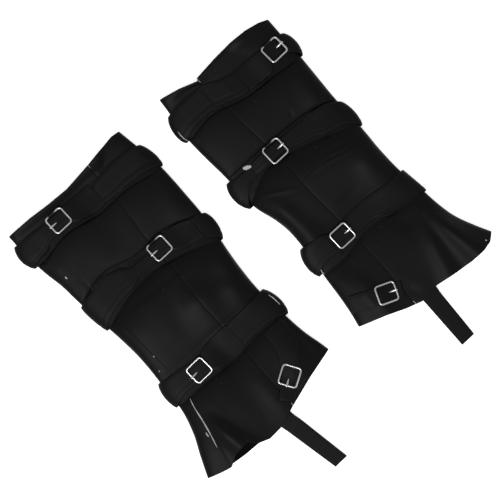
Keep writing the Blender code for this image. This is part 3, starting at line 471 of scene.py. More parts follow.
def wallFaces(rows, columns):
    # faces of a closed wall between two equal grids: inner side, outer side and the border
    ids = np.arange(rows * columns).reshape(rows, columns)
    inner = np.stack([ids[:-1, :-1], ids[:-1, 1:], ids[1:, 1:], ids[1:, :-1]], -1).reshape(-1, 4)
    outer = inner[:, ::-1] + rows * columns
    border = np.concatenate([ids[0, :-1], ids[:-1, -1], ids[-1, :0:-1], ids[:0:-1, 0]])
    after = np.roll(border, -1)
    rim = np.stack([after, border, border + rows * columns, after + rows * columns], -1)
    return np.concatenate([inner, outer, rim]), len(inner)


def putWall(name, cover, inner, outer, materials, marks=None):
    # closed wall: the two grids become its two sides; marks are given once and used on both
    faces, insideFaces = wallFaces(*inner.shape[:2])
    both = {k: np.concatenate([v.ravel(), v.ravel()]) for k, v in (marks or {}).items()}
    return putMesh(name, cover, np.concatenate([inner.reshape(-1, 3), outer.reshape(-1, 3)]),
                   faces, materials, both, insideFaces)


class Socket:
    # one output of a node; arithmetic on it adds Math nodes
    def __init__(self, look, socket):
        self.look, self.socket = look, socket

    def __add__(self, other):
        return self.look.math("ADD", self, other)

    def __sub__(self, other):
        return self.look.math("SUBTRACT", self, other)

    def __rsub__(self, other):
        return self.look.math("SUBTRACT", other, self)

    def __mul__(self, other):
        return self.look.math("MULTIPLY", self, other)


class Look:
    # a Principled material; fixed values go on the shader's own sockets
    def __init__(self, name, **fixed):
        self.material = bpy.data.materials.new(name)
        self.material.use_nodes = True
        self.tree = self.material.node_tree
        self.shader = self.tree.nodes["Principled BSDF"]
        for socket, value in fixed.items():
            self.shader.inputs[socket.replace("_", " ")].default_value = value

    def feed(self, socket, value):
        if isinstance(value, Socket):
            self.tree.links.new(value.socket, socket)
        else:
            socket.default_value = value

    def node(self, kind, settings, values, output=0):
        made = self.tree.nodes.new(kind)
        for key, value in settings.items():
            setattr(made, key, value)
        for socket, value in values.items():
            self.feed(made.inputs[socket], value)
        return Socket(self, made.outputs[output])

    def math(self, operation, first, second):
        return self.node("ShaderNodeMath", {"operation": operation}, {0: first, 1: second})

    def clamped(self, value):
        return self.node("ShaderNodeClamp", {}, {"Value": value})

    def mark(self, name):
        return self.node("ShaderNodeAttribute", {"attribute_name": name}, {}, 2)

    def objectPlace(self):
        return self.node("ShaderNodeTexCoord", {}, {}, 3)

    def noise(self, place, scale, detail=2.0, roughness=0.5):
        return self.node("ShaderNodeTexNoise", {}, {
            "Vector": place, "Scale": scale, "Detail": detail, "Roughness": roughness})

    def cells(self, place, scale):
        # distance to the nearest of many scattered points
        return self.node("ShaderNodeTexVoronoi", {"feature": "F1"}, {
            "Vector": place, "Scale": scale})

    def bumped(self, height, strength, distance):
        return self.node("ShaderNodeBump", {}, {
            "Strength": strength, "Distance": distance, "Height": height})

    def tint(self, share, low, high):
        # colour a share of the way from low, which may be a socket, to high
        low = low if isinstance(low, Socket) else (*low, 1)
        return self.node("ShaderNodeMix", {"data_type": "RGBA"}, {
            0: share, 6: low, 7: (*high, 1)}, 2)

    def use(self, **links):
        for socket, value in links.items():
            self.feed(self.shader.inputs[socket.replace("_", " ")], value)
        return self.material


# noises by scale, detail and roughness; weights by what they add to
skin = {
    "cloud": (22.0, 3.0, 0.55), "fine": (1700.0, 2.0, 0.6), "specular": 0.08, "rough": 0.40,
    "pebbleHeight": -0.7, "fineHeight": 0.5, "cloudTint": 0.5, "wornTint": 0.3, "tapeTint": 1.1,
    "cloudRough": 0.10, "fineRough": 0.05, "tapeRough": 0.12, "wornRough": 0.03,
    "lintPatches": 60.0, "lintLevel": 0.56, "lintColour": (0.10, 0.10, 0.10),
}


def leatherette(name, settings):
    # fine pebble grain, cloudy gloss, a few specks of lint, and lighter rubbed edges; colour
    # and roughness are weighed sums of cloud, fine noise, worn and tape; lint lies where the
    # middle of a small cell meets a patch of noise
    look = Look(name, Specular_IOR_Level=skin["specular"])
    place = look.objectPlace()
    pebble = look.cells(place, settings["grainScale"])
    cloud = look.noise(place, *skin["cloud"])
    fineNoise = look.noise(place, *skin["fine"])
    normal = look.bumped(pebble * skin["pebbleHeight"] + fineNoise * skin["fineHeight"],
                         settings["grainStrength"], settings["grainDepth"])
    worn, tape = look.mark("worn"), look.mark("tape")
    lintCell = look.cells(place, settings["lintScale"])
    patches = look.noise(place, skin["lintPatches"])
    lint = (look.math("LESS_THAN", lintCell, settings["lintSize"])
            * look.math("GREATER_THAN", patches, skin["lintLevel"]))
    share = look.clamped(cloud * skin["cloudTint"] + worn * skin["wornTint"]
                         + tape * skin["tapeTint"])
    colour = look.tint(share, settings["dark"], settings["light"])
    colour = look.tint(lint * settings["lintStrength"], colour, skin["lintColour"])
    rough = look.clamped(cloud * skin["cloudRough"] + fineNoise * skin["fineRough"]
                         + tape * skin["tapeRough"] + skin["rough"] - worn * skin["wornRough"])
    return look.use(Base_Color=colour, Roughness=rough, Normal=normal)


panelLook = leatherette("leatherette", {
    "dark": (0.0014, 0.0014, 0.0015), "light": (0.0032, 0.0032, 0.0033),
    "grainScale": 1100.0, "grainStrength": 0.32, "grainDepth": 0.00012,
    "lintScale": 150.0, "lintSize": 0.055, "lintStrength": 0.6})
strapLook = leatherette("strapLeatherette", {
    "dark": (0.0016, 0.0016, 0.0017), "light": (0.0038, 0.0038, 0.0039),
    "grainScale": 1250.0, "grainStrength": 0.28, "grainDepth": 0.0001,
    "lintScale": 170.0, "lintSize": 0.05, "lintStrength": 0.5})


def backingCloth(name, dark, light, roughness):
    # knitted backing: the product of two crossed waves as its stitches, over a cloudy tone
    look = Look(name, Specular_IOR_Level=0.06)
    place = look.objectPlace()
    rib, course = (
        look.node("ShaderNodeTexWave", {"wave_type": "BANDS", "bands_direction": direction}, {
            "Vector": place, "Scale": scale, "Distortion": 1.0, "Detail": 1.0})
        for direction, scale in (("X", 260.0), ("Y", 300.0)))
    cloud = look.noise(place, 40.0, 2.0)
    colour = look.tint(look.clamped(cloud * 0.6 + rib * course * 0.5), dark, light)
    return look.use(Base_Color=colour, Roughness=look.clamped(cloud * 0.1 + roughness),
                    Normal=look.bumped(rib * course, 0.4, 0.00025))


backingLook = backingCloth("darkBacking", (0.001, 0.001, 0.001), (0.003, 0.003, 0.003), 0.8)
# the pale backing, also the colour of the painted highlight strips on the strap loops
whiteLook = backingCloth("whiteBackingAndPaintedHighlight", (0.26, 0.26, 0.25), (0.46, 0.46, 0.45), 0.85)


def threadCloth():
    # black sewing thread, its plies a fine noise
    look = Look("blackThread", Specular_IOR_Level=0.1)
    place = look.objectPlace()
    ply = look.noise(place, 3000.0, 1.0)
    colour = look.tint(ply, (0.003, 0.003, 0.003), (0.008, 0.008, 0.008))
    return look.use(Base_Color=colour, Roughness=look.clamped(ply * 0.2 + 0.5))


def chromeMetal():
    # polished chrome with faint hazy patches and hairline scratches, and nearly black where
    # it is marked for a painted dark reflection
    look = Look("chrome", Metallic=1.0)
    place = look.objectPlace()
    haze = look.noise(place, 90.0, 3.0)
    stretched = look.node("ShaderNodeMapping", {}, {"Vector": place, "Scale": (1.0, 9.0, 1.0)})
    hairline = look.noise(stretched, 900.0, 2.0)
    # colour darkened to nearly black along the marked stretch: a painted dark reflection
    hazeAndPaintedReflection = look.clamped((haze * 0.2 + 0.62) * (1.0 - look.mark("paintedDarkReflection") * 0.96))
    colour = look.tint(hazeAndPaintedReflection, (0.01, 0.01, 0.01), (0.6, 0.6, 0.61))
    return look.use(Base_Color=colour, Roughness=look.clamped(haze * 0.2 + 0.14),
                    Normal=look.bumped(hairline, 0.12, 0.00005))


threadLook = threadCloth()
chromeLook = chromeMetal()
print("materials made")


def stretchRows():
    # rows from knee to hem as number of the stretch and share of it, more where it is longer
    numbers, shares = [], []
    for number, count in enumerate(cloth["rowsPerStretch"]):
        numbers.append(np.full(count, number))
        shares.append(np.arange(count) / count)
    return np.append(np.concatenate(numbers), 6), np.append(np.concatenate(shares), 1.0)


def panelRun(cover, onBack, first, second, places, shifts=(0.0, 0.0)):
    # x lies a share of the way between two lengthwise lines and y between two cross lines;
    # each depends on the other, so both are worked out in turn until they settle
    number, share = stretchRows()
    number, share, t = number[:, None], share[:, None], places[None, :]
    y = np.broadcast_to(cloth["kneeY"] - cloth["length"] * (number + share) / 7,
                        (len(number), len(places)))
    level = np.broadcast_to(number, y.shape)[None]
    for _ in range(7):
        low = lineAt(cover, first, y) + shifts[0]
        high = lineAt(cover, second, y) + shifts[1]
        x = mix(low, high, t)
        lines = crossLines(cover, x, y, onBack)
        above = np.take_along_axis(lines, level, 0)[0]
        below = np.take_along_axis(lines, level + 1, 0)[0]
        y = mix(above, below, share)
    return x, y


def crowded(count, start=False, end=False):
    # places from 0 to 1, crowded at the named ends as a cosine is
    t = np.linspace(0, 1, count)
    if start and end:
        return 0.5 - 0.5 * np.cos(math.pi * t)
    if start:
        return 1 - np.cos(math.pi / 2 * t)
    return np.sin(math.pi / 2 * t) if end else t


def panelWorn(cover, x, y, onBack):
    # cloth is rubbed lighter along its knee edge and hem: a bell at each
    lines = crossLines(cover, x, y, onBack)
    return bump(y - lines[-1], cloth["wornWidth"]) + bump(lines[0] - y, cloth["wornWidth"])


def signHere(grid, normals):
    # 1 or -1: the way that a grid's normals point up at its highest point
    top = np.unravel_index(np.argmax(grid[..., 2]), grid.shape[:2])
    return np.sign(normals[top][2])


def finished(piece, cover, part):
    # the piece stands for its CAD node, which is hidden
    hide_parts(f"{cover['name']}_{part}")
    return piece


def makePanel(cover, label, runs):
    # a panel is its runs of columns side by side, as one shell of even thickness
    grids, worn = [], []
    for onBack, first, second, places, shifts, lift in runs:
        x, y = panelRun(cover, onBack, first, second, places, shifts)
        if onBack:
            z = tubeBase(cover, x, y)
            if lift == "insideLap":
                near = x - lineAt(cover, "closure", y) + cloth["lapWidth"]
                z = z + cloth["insideLapLift"] * ease(near / cloth["insideLapRamp"])
        else:
            z = tubeTop(cover, x, y, label == "front_panel")
            z = z + seamRelief(cover, x, y) + hemRelief(cover, x, y)
            if lift == "onLap":
                z = z + lapOn(cover, x, y)
        grids.append(np.stack([x, y, z], -1))
        worn.append(panelWorn(cover, x, y, onBack))
    outer = np.concatenate(grids, axis=1)
    normals = gridNormals(outer)
    inner = outer - normals * signHere(outer, normals) * cloth["wall"]
    inner[..., 2] = np.maximum(inner[..., 2], cloth["leastInner"])
    outer[..., 2] = np.maximum(outer[..., 2], 0.0)
    panel = putWall(f"{cover['name']}{label.title().replace('_', '')}", cover, inner, outer,
                    [panelLook, backingLook], {"worn": np.concatenate(worn, 1)})
    return finished(panel, cover, label)


def makePanels(cover):
    # each run: on the back or not, its two lengthwise lines, its columns, shifts and lift
    gap, lap = cloth["seamGap"], cloth["lapWidth"]
    if cover["closureOnBack"]:
        front = makePanel(cover, "front_panel", [
            (False, "seam", "right", crowded(78, end=True), (gap, 0), None),
            (True, "right", "closure", crowded(34, start=True)[1:], (0, 0), None)])
        wrap = makePanel(cover, "wrap_panel", [
            (False, "seam", "left", crowded(58, end=True), (-gap, 0), None),
            (True, "left", "closure", crowded(64, start=True, end=True)[1:], (0, lap),
             "insideLap")])
        return front, wrap
    front = makePanel(cover, "front_panel", [
        (False, "seam", "closure", crowded(74), (-gap, 0), "onLap")])
    wrap = makePanel(cover, "wrap_panel", [
        (False, "closure", "left", crowded(30, end=True), (lap, 0), None),
        (True, "left", "right", crowded(64, start=True, end=True)[1:], (0, 0), None),
        (False, "right", "seam", crowded(60, start=True)[1:], (0, gap), None)])
    return front, wrap


strapShape = {
    "wall": 1.7, "tongueWall": 1.5, "ankleWall": 1.5, "stirrupWall": 1.6, "layGap": 0.5,
    "loopFoot": 4.0, "loopMiddle": 7.5, "loopSteps": 14, "edgeStand": 4.4, "edgeShare": 0.45,
    "edgePower": 2.2, "loopInset": 2.0, "threads": 26, "spacing": 1.8, "tongueSpacing": 1.6,
    "tabRampStart": 32.0, "tabRamp": 28.0, "tabGap": 0.75, "ankleRows": 70, "ankleGap": 0.75,
    "backRows": 60, "leastEdge": 0.35, "edgeRound": 14, "endReach": 1.6, "leastThick": 0.2,
    "width": 34.0, "wornWidth": 1.5, "stirrupGap": 0.4, "foldGap": 0.5, "reliefShare": 0.8,
    "tapeRise": 0.22, "tipSteps": 7, "tipShare": 1.3, "stirrupRows": 150, "tipRows": 24,
}
# grooves along the straps: how far in from the edge, how deep and how wide, in millimetres
grooves = {"strap": (2.4, 0.28, 0.7), "border": (8.16, 0.42, 0.8), "tongue": (2.6, 0.2, 0.7),
           "tongueRidge": (5.0, 0.14, 1.2), "ankle": (2.4, 0.2, 0.7),
           "stirrup": (2.4, 0.12, 0.7)}


def crossPlaces():
    # places across a strap, crowded at its two edges
    return crowded(strapShape["threads"], start=True, end=True)


def roundedEdge(w):
    # thickness share across a strap: least + (1 - least) * sqrt(1 - |2 w - 1|^p), full in
    # the middle and rounded off at both edges
    least = strapShape["leastEdge"]
    across = np.abs(2 * w - 1) ** strapShape["edgeRound"]
    return least + (1 - least) * np.sqrt(np.clip(1 - across, 0, 1))


def groove(away, kind):
    # bell-shaped groove a given way in from an edge
    inset, depth, width = grooves[kind]
    return -depth * bump(away - inset, width)


def finerRows(rows, spacing):
    # a table's rows read as cubic curves at an even spacing along its first column
    rows = np.array(rows, float)
    passed = passedAlong(rows[:, :1])
    count = max(2, int(passed[-1] / spacing) + 1)
    at = np.linspace(0, passed[-1], count)
    return np.stack([smoothCurve(passed, rows[:, k], at) for k in range(rows.shape[1])], -1)


def softened(grid, passes):
    # each point is drawn towards the middle of its two neighbours along the strap
    for _ in range(passes):
        grid = np.concatenate([grid[:1], (grid[:-2] + 2 * grid[1:-1] + grid[2:]) / 4, grid[-1:]])
    return grid


def layOn(cover, fine):
    # rows of (across, upper edge, lower edge) as a grid of points laid on the cloth
    w = crossPlaces()[None, :]
    x = np.broadcast_to(fine[:, :1], (len(fine), w.shape[1]))
    y = mix(fine[:, 2:3], fine[:, 1:2], w)
    return np.stack([x, y, restHeight(cover, x, y) + strapShape["layGap"]], -1)


def frontStretch(cover, rows):
    # the part of a band that lies on the front, from its fold to its end
    if len(rows) == 1:
        return np.zeros((0, strapShape["threads"], 3))
    return layOn(cover, finerRows(rows, strapShape["spacing"])[1:])


def loopStretch(cover, strap, rows, side):
    # a quarter ellipse out over the fold and another one in under it, x as a sine and z as a
    # cosine of the same angle; the loop stands out less towards its two edges
    w = crossPlaces()
    place = 0 if side < 0 else -1
    loopY = mix(strap["lower"][place] + strapShape["loopInset"],
                strap["upper"][place] - strapShape["loopInset"], w)
    fold = lineAt(cover, "left" if side < 0 else "right", loopY)
    stand = strap["stands"][place]
    edgeStand = max(strapShape["edgeStand"], stand * strapShape["edgeShare"])
    stand = mix(stand, edgeStand, np.abs(2 * w - 1) ** strapShape["edgePower"])
    outside = fold + side * (stand - strapShape["wall"])
    foot = fold - side * strapShape["loopFoot"]
    start, startY = rows[0][0], mix(rows[0][2], rows[0][1], w)
    top = restHeight(cover, np.full_like(w, start), startY) + strapShape["layGap"]
    t = np.linspace(0, 1, strapShape["loopSteps"])[:, None]
    angle = math.pi / 2 * t
    middle, low = strapShape["loopMiddle"], strapShape["wall"]
    upperX = start + (outside - start) * np.sin(angle)
    upperZ = middle + (top - middle) * np.cos(angle)
    upperY = mix(startY, loopY, ease(t))
    lowerX = foot + (outside - foot) * np.cos(angle)
    lowerZ = middle - (middle - low) * np.sin(angle)
    upper = np.stack(np.broadcast_arrays(upperX, upperY, upperZ), -1)
    lower = np.stack(np.broadcast_arrays(lowerX, loopY, lowerZ), -1)
    return np.concatenate([upper, lower[1:]])


def bandGrid(cover, strap):
    # inner face of a band: left end, left loop, straight back, right loop, right end
    leftLoop = loopStretch(cover, strap, strap["leftEnd"], -1)
    rightLoop = loopStretch(cover, strap, strap["rightEnd"], 1)[::-1]
    t = np.linspace(0, 1, strapShape["backRows"])[1:-1, None, None]
    back = mix(leftLoop[-1][None], rightLoop[0][None], t)
    return np.concatenate([frontStretch(cover, strap["leftEnd"])[::-1], leftLoop, back,
                           rightLoop, frontStretch(cover, strap["rightEnd"])])


def strapRelief(w):
    # topstitched grooves near both edges, and a deeper one that parts off the border strip
    low, high = w * strapShape["width"], (1 - w) * strapShape["width"]
    return groove(low, "strap") + groove(high, "strap") + groove(low, "border")


def endRound(places, start, end):
    # thickness share along a strip: a quarter circle at each end that shows
    reach = strapShape["endReach"]
    near = np.full_like(places, reach)
    if start:
        near = np.minimum(near, places)
    if end:
        near = np.minimum(near, places.max() - places)
    return np.sqrt(np.clip(1 - (1 - near / reach) ** 2, 0.06, 1))


def strapThickness(grid, start, end):
    # thickness share of a strip before its grooves: rounded across and at the ends that show
    places = passedAlong(grid[:, grid.shape[1] // 2])
    return roundedEdge(crossPlaces()[None, :]) * endRound(places, start, end)[:, None]


def putStrip(cover, label, node, grid, wall, thick, fromEdge, tape=0.0):
    # a strip's outer face stands off its inner one along the normals; worn at its edges
    normals = gridNormals(grid)
    normals = normals * signHere(grid, normals)
    thick = np.maximum(thick, strapShape["leastThick"])
    outer = grid + normals * (wall * thick)[..., None]
    outer[..., 2] = np.maximum(outer[..., 2], 0.0)
    worn = bump(fromEdge, strapShape["wornWidth"]) + np.zeros_like(thick)
    strip = putWall(cover["name"] + label, cover, grid, outer, [strapLook],
                    {"worn": worn, "tape": tape + np.zeros_like(thick)})
    return finished(strip, cover, node), outer, normals


def makeStrap(cover, number, strap):
    # the band's grid, smoothed, with its thickness, grooves and tape
    grid = softened(bandGrid(cover, strap), 5)
    w = crossPlaces()[None, :]
    thick = strapThickness(grid, cover["tongueSide"] > 0, cover["tongueSide"] < 0)
    thick = thick + strapRelief(w) / strapShape["wall"] * strapShape["reliefShare"]
    tape = tapeField(cover, number, grid, w)
    return putStrip(cover, f"Strap{number}", f"strap_{number}", grid, strapShape["wall"],
                    thick + tape * strapShape["tapeRise"],
                    np.minimum(w, 1 - w) * strapShape["width"], tape)


tapePlaces = {"left": [(20, 96)], "right": [(-76, -38), (-34, -8)], "low": 0.30,
              "high": 0.93, "ramp": 0.04, "endRamp": 1.5, "above": 9}


def tapeField(cover, number, grid, w):
    # the matt field of hook-and-loop tape on an upper strap: an eased step up and down along
    # it, times the same across it
    total = np.zeros(grid.shape[:2])
    if number != 1:
        return total
    x, ramp = grid[..., 0], tapePlaces["endRamp"]
    across = (ease((w - tapePlaces["low"]) / tapePlaces["ramp"])
              * ease((tapePlaces["high"] - w) / tapePlaces["ramp"]))
    for low, high in tapePlaces[cover["name"]]:
        total = np.maximum(total, ease((x - low) / ramp) * ease((high - x) / ramp))
    return total * across * (grid[..., 2] > tapePlaces["above"])


def makeTongue(cover, number, strap):
    # laid on the cloth, and raised by an eased ramp where it passes over the band's other end
    w = crossPlaces()[None, :]
    fine = finerRows(strap["tongue"], strapShape["tongueSpacing"])
    tab = strap["leftEnd" if cover["tongueSide"] > 0 else "rightEnd"][-1][0]
    grid = layOn(cover, fine)
    past = (tab - grid[..., 0]) * cover["tongueSide"] + strapShape["tabRampStart"]
    grid[..., 2] += (ease(past / strapShape["tabRamp"])
                     * (strapShape["wall"] + strapShape["tabGap"]))
    grid = softened(grid, 3)
    width = (fine[:, 1] - fine[:, 2])[:, None]
    fromLow, fromHigh = w * width, (1 - w) * width
    thick = (strapThickness(grid, False, True) + groove(fromLow, "tongue")
             + groove(fromHigh, "tongue") - groove(fromLow, "tongueRidge"))
    return putStrip(cover, f"Tongue{number}", f"tongue_{number}", grid,
                    strapShape["tongueWall"], thick, np.minimum(fromLow, fromHigh))


def makeAnkleStrap(cover):
    # a strip along a curve of (across, along), as wide as its table says
    rows = np.array(cover["ankle"], float)
    passed = passedAlong(rows[:, :2])
    at = np.linspace(0, passed[-1], strapShape["ankleRows"])
    x, y, width = (smoothCurve(passed, rows[:, k], at) for k in range(3))
    runX, runY = np.gradient(x), np.gradient(y)
    length = np.hypot(runX, runY)
    side = crossPlaces()[None, :] - 0.5
    gridX = x[:, None] - (runY / length * width)[:, None] * side
    gridY = y[:, None] + (runX / length * width)[:, None] * side
    z = restHeight(cover, gridX, gridY) + strapShape["ankleGap"]
    grid = softened(np.stack([gridX, gridY, z], -1), 3)
    fromEdge = (0.5 - np.abs(side)) * width[:, None]
    thick = strapThickness(grid, True, True) + groove(fromEdge, "ankle")
    return putStrip(cover, "AnkleStrap", "ankle_strap", grid, strapShape["ankleWall"], thick,
                    fromEdge)


def makeStirrup(cover):
    # one strap folded back on itself: its middle line is a curve of (along, height), with a
    # half circle at the tip
    root, hem, clear, beforeTip, tip = (np.array(row, float) for row in cover["stirrup"])
    wall, gap, foldGap = (strapShape[key] for key in ("stirrupWall", "stirrupGap", "foldGap"))
    insideLow = cloth["wall"] + gap + wall / 2
    insideHigh = insideLow + wall + gap
    floorLow, floorHigh = wall / 2, wall / 2 + wall + foldGap
    bend = (floorHigh - floorLow) / 2
    path = [(*root, insideHigh), (*hem, insideHigh), (*clear, floorHigh)]
    path += [(*mix(clear, beforeTip, t), floorHigh) for t in (0.33, 0.66, 1.0)]
    for t in np.linspace(0, 1, strapShape["tipSteps"]):
        angle = math.pi * (0.5 - t)
        turned = tip - (0, bend * strapShape["tipShare"] * math.cos(angle), 0)
        path.append((*turned, (floorLow + floorHigh) / 2 + bend * math.sin(angle)))
    path += [(*mix(beforeTip, clear, t), floorLow) for t in (0.0, 0.34, 0.67, 1.0)]
    path += [(*hem, insideLow), (*root, insideLow)]
    path = np.array(path)
    passed = passedAlong(path[:, (1, 3)])
    at = np.sort(np.concatenate([
        np.linspace(0, passed[-1], strapShape["stirrupRows"]),
        np.linspace(passed[5], passed[13], strapShape["tipRows"])]))
    x, y, width, z = (smoothCurve(passed, path[:, k], at) for k in range(4))
    side = crossPlaces()[None, :] - 0.5
    centre = np.stack(np.broadcast_arrays(x[:, None] + width[:, None] * side, y[:, None],
                                          z[:, None]), -1)
    runY, runZ = np.gradient(y), np.gradient(z)
    length = np.maximum(np.hypot(runY, runZ), 1e-9)
    normals = np.zeros_like(centre)
    normals[..., 1], normals[..., 2] = (runZ / length)[:, None], (-runY / length)[:, None]
    fromEdge = (0.5 - np.abs(side)) * width[:, None]
    half = wall / 2 * roundedEdge(side + 0.5) * endRound(at, True, True)[:, None]
    half = half + groove(fromEdge, "stirrup")
    outer, inner = centre + normals * half[..., None], centre - normals * half[..., None]
    strip = putWall(f"{cover['name']}Stirrup", cover, inner, outer, [strapLook],
                    {"worn": bump(fromEdge, strapShape["wornWidth"])})
    finished(strip, cover, "stirrup")
    return outer, normals


buckleShape = {
    "width": 27.8, "length": 29.2, "wire": 2.7, "corner": 3.9, "cornerSteps": 7, "sides": 12,
    "sideSteps": 6, "prongWidth": 2.6, "prongWall": 1.1, "prongReach": 7.0, "prongGap": 0.3,
    "prongDrop": 1.3, "prongBow": 0.35, "prongSides": 10, "prongSteps": 9, "hookSteps": 14,
    "hook": (200, 62), "taper": ((0, 0.85, 1), (1, 0.9, 0.45)), "seatGap": 0.25,
    "paintedReflectionHalf": 7.2, "paintedReflectionShift": 2, "paintedReflectionRamp": 1.6, "paintedReflectionBeside": 8,
}


def ringFaces(rings, sides, closed):
    # faces round a tube, ring to ring, and from the last ring to the first if it is closed
    ids = np.arange(rings * sides).reshape(rings, sides)
    nextRing = np.roll(ids, -1, 0) if closed else ids[1:]
    thisRing = ids if closed else ids[:-1]
    return np.stack([thisRing, np.roll(thisRing, -1, 1), np.roll(nextRing, -1, 1), nextRing],
                    -1).reshape(-1, 4)


def frameCurve():
    # rounded rectangle: four quarter circles, and six points on each straight side
    half = np.array([buckleShape["length"], buckleShape["width"]]) / 2 - buckleShape["wire"] / 2
    centres = np.array([(1, 1), (-1, 1), (-1, -1), (1, -1)]) * (half - buckleShape["corner"])
    turn = np.linspace(0, 1, buckleShape["cornerSteps"])
    angle = math.pi / 2 * (np.arange(4)[:, None] + turn)
    circle = np.stack([np.cos(angle), np.sin(angle)], -1)
    corners = centres[:, None] + circle * buckleShape["corner"]
    t = np.linspace(0, 1, buckleShape["sideSteps"] + 2)[1:-1, None]
    sides = mix(corners[:, -1:], np.roll(corners, -1, 0)[:, :1], t)
    return np.concatenate([corners, sides], 1).reshape(-1, 2)


def seatOf(cover, number, carriers):
    # the CAD frame gives the centre and, as the direction in which its points spread least,
    # the plane; the fine frame is then raised just clear of what rays find under it
    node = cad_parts[f"{cover['name']}_buckle_{number}"]
    points = np.empty(len(node.data.vertices) * 3)
    node.data.vertices.foreach_get("co", points)
    points = points.reshape(-1, 3) * 1000 - (*cover["place"], 0)
    centre = (points.min(0) + points.max(0)) / 2
    _, _, axes = np.linalg.svd(points - points.mean(0), full_matrices=False)
    normal = axes[2] * np.sign(axes[2][2])
    turn = math.radians(cover["buckleTurns"][number - 1])
    ahead = np.array([math.cos(turn), math.sin(turn), 0])
    ahead -= normal * ahead.dot(normal)
    ahead /= np.linalg.norm(ahead)
    beside = np.cross(normal, ahead)
    curve = frameCurve()
    rise = -9.0
    for grow in (0.92, 1.0, 1.08):
        spots = centre + curve[:, :1] * ahead * grow + curve[:, 1:] * beside * grow
        for spot in spots:
            start = Vector(((spot[0] + cover["place"][0]) / 1000,
                            (spot[1] + cover["place"][1]) / 1000, 0.2))
            for carrier in carriers:
                hit, where, _, _ = carrier.ray_cast(start, Vector((0, 0, -1)))
                if hit:
                    rise = max(rise, where.z * 1000 - spot[2])
    radius = buckleShape["wire"] / 2
    centre = centre + (0, 0, rise + radius + buckleShape["seatGap"])
    return centre, ahead, beside, normal


def makeBuckle(cover, number, carriers):
    # round wire along the frame's curve: a circle of points round each of its points
    centre, ahead, beside, normal = seatOf(cover, number, carriers)
    curve = frameCurve()
    run = np.roll(curve, -1, 0) - np.roll(curve, 1, 0)
    run /= np.linalg.norm(run, axis=1, keepdims=True)
    outward = np.stack([run[:, 1], -run[:, 0]], -1)
    angle = 2 * math.pi * np.arange(buckleShape["sides"]) / buckleShape["sides"]
    radius = buckleShape["wire"] / 2
    flat = curve[:, None] + outward[:, None] * (radius * np.cos(angle))[None, :, None]
    rise = np.broadcast_to(radius * np.sin(angle), flat.shape[:2])
    points = (centre + flat[..., :1] * ahead + flat[..., 1:] * beside
              + rise[..., None] * normal)
    # the two upper frames get a painted dark reflection on their knee-side bar, 13 mm long
    # mask of the painted dark reflection along the middle of that bar
    away = (points - centre)[..., :2]
    inside = buckleShape["paintedReflectionHalf"] - np.abs(away[..., 0] + buckleShape["paintedReflectionShift"])
    dark = (np.clip(inside / buckleShape["paintedReflectionRamp"], 0, 1)
            * (away[..., 1] > buckleShape["paintedReflectionBeside"]) * (number < 3))
    ring = putMesh(f"{cover['name']}Buckle{number}", cover, points,
                   ringFaces(len(curve), buckleShape["sides"], True), [chromeLook],
                   {"paintedDarkReflection": dark}, sharp=80)
    finished(ring, cover, f"buckle_{number}")
    makeProng(cover, number, centre, ahead, beside, normal)


def makeProng(cover, number, centre, ahead, beside, normal):
    # flat wire hooked round the bar: part of a circle, then a slightly bowed run down to its
    # tip, with an ellipse of points across that grows smaller towards the tip
    sides, reach = buckleShape["prongSides"], buckleShape["prongReach"]
    bar = -(buckleShape["length"] - buckleShape["wire"]) / 2
    hook = buckleShape["wire"] / 2 + buckleShape["prongGap"] + buckleShape["prongWall"] / 2
    angle = np.radians(np.linspace(*buckleShape["hook"], buckleShape["hookSteps"]))
    path = np.stack([bar + hook * np.cos(angle), hook * np.sin(angle)], -1)
    tip = np.array([bar + hook + reach, -buckleShape["prongDrop"]])
    t = np.linspace(0, 1, buckleShape["prongSteps"] + 1)[1:, None]
    bow = (0, buckleShape["prongBow"]) * np.sin(math.pi * t)
    path = np.concatenate([path, mix(path[-1], tip, t) + bow])
    run = np.gradient(path, axis=0)
    run /= np.linalg.norm(run, axis=1, keepdims=True)
    out = np.stack([-run[:, 1], run[:, 0]], -1)
    side = 2 * math.pi * np.arange(sides) / sides
    taper = np.interp(np.linspace(0, 1, len(path)), *buckleShape["taper"])[:, None]
    wide = buckleShape["prongWidth"] / 2 * np.cos(side) * taper
    thick = buckleShape["prongWall"] / 2 * np.sin(side) * taper
    flat = path[:, None] + out[:, None] * thick[..., None]
    points = (centre + flat[..., :1] * ahead + flat[..., 1:] * normal
              + wide[..., None] * beside).reshape(-1, 3)
    faces = ringFaces(len(path), sides, False)
    # a fan of triangles round the middle of each end
    ends = np.stack([points[:sides].mean(0), points[-sides:].mean(0)])
    ids, after = np.arange(sides), np.roll(np.arange(sides), -1)
    start, last = np.full(sides, len(points)), len(points) - sides
    faces = np.concatenate([faces[:, [0, 1, 2]], faces[:, [0, 2, 3]],
                            np.stack([ids, start, after], -1),
                            np.stack([ids + last, after + last, start + 1], -1)])
    prong = putMesh(f"{cover['name']}Prong{number}", cover, np.concatenate([points, ends]),
                    faces, [chromeLook], sharp=60)
    finished(prong, cover, f"prong_{number}")


stitch = {"pitch": 3.6, "length": 2.7, "radius": 0.27, "sides": 6, "rings": 4,
          "endShare": 0.94, "lookAhead": 0.5}


def stitchPoints(line, normals):
    # even places along a line of points, each with the line's run and the surface normal
    def read(places, columns):
        return np.stack([np.interp(places, passed, column) for column in columns.T], -1)

    passed = passedAlong(line)
    at = (np.arange(int(passed[-1] / stitch["pitch"])) + 0.5) * stitch["pitch"]
    spots = read(at, line)
    return spots, read(at + stitch["lookAhead"], line) - spots, read(at, normals)


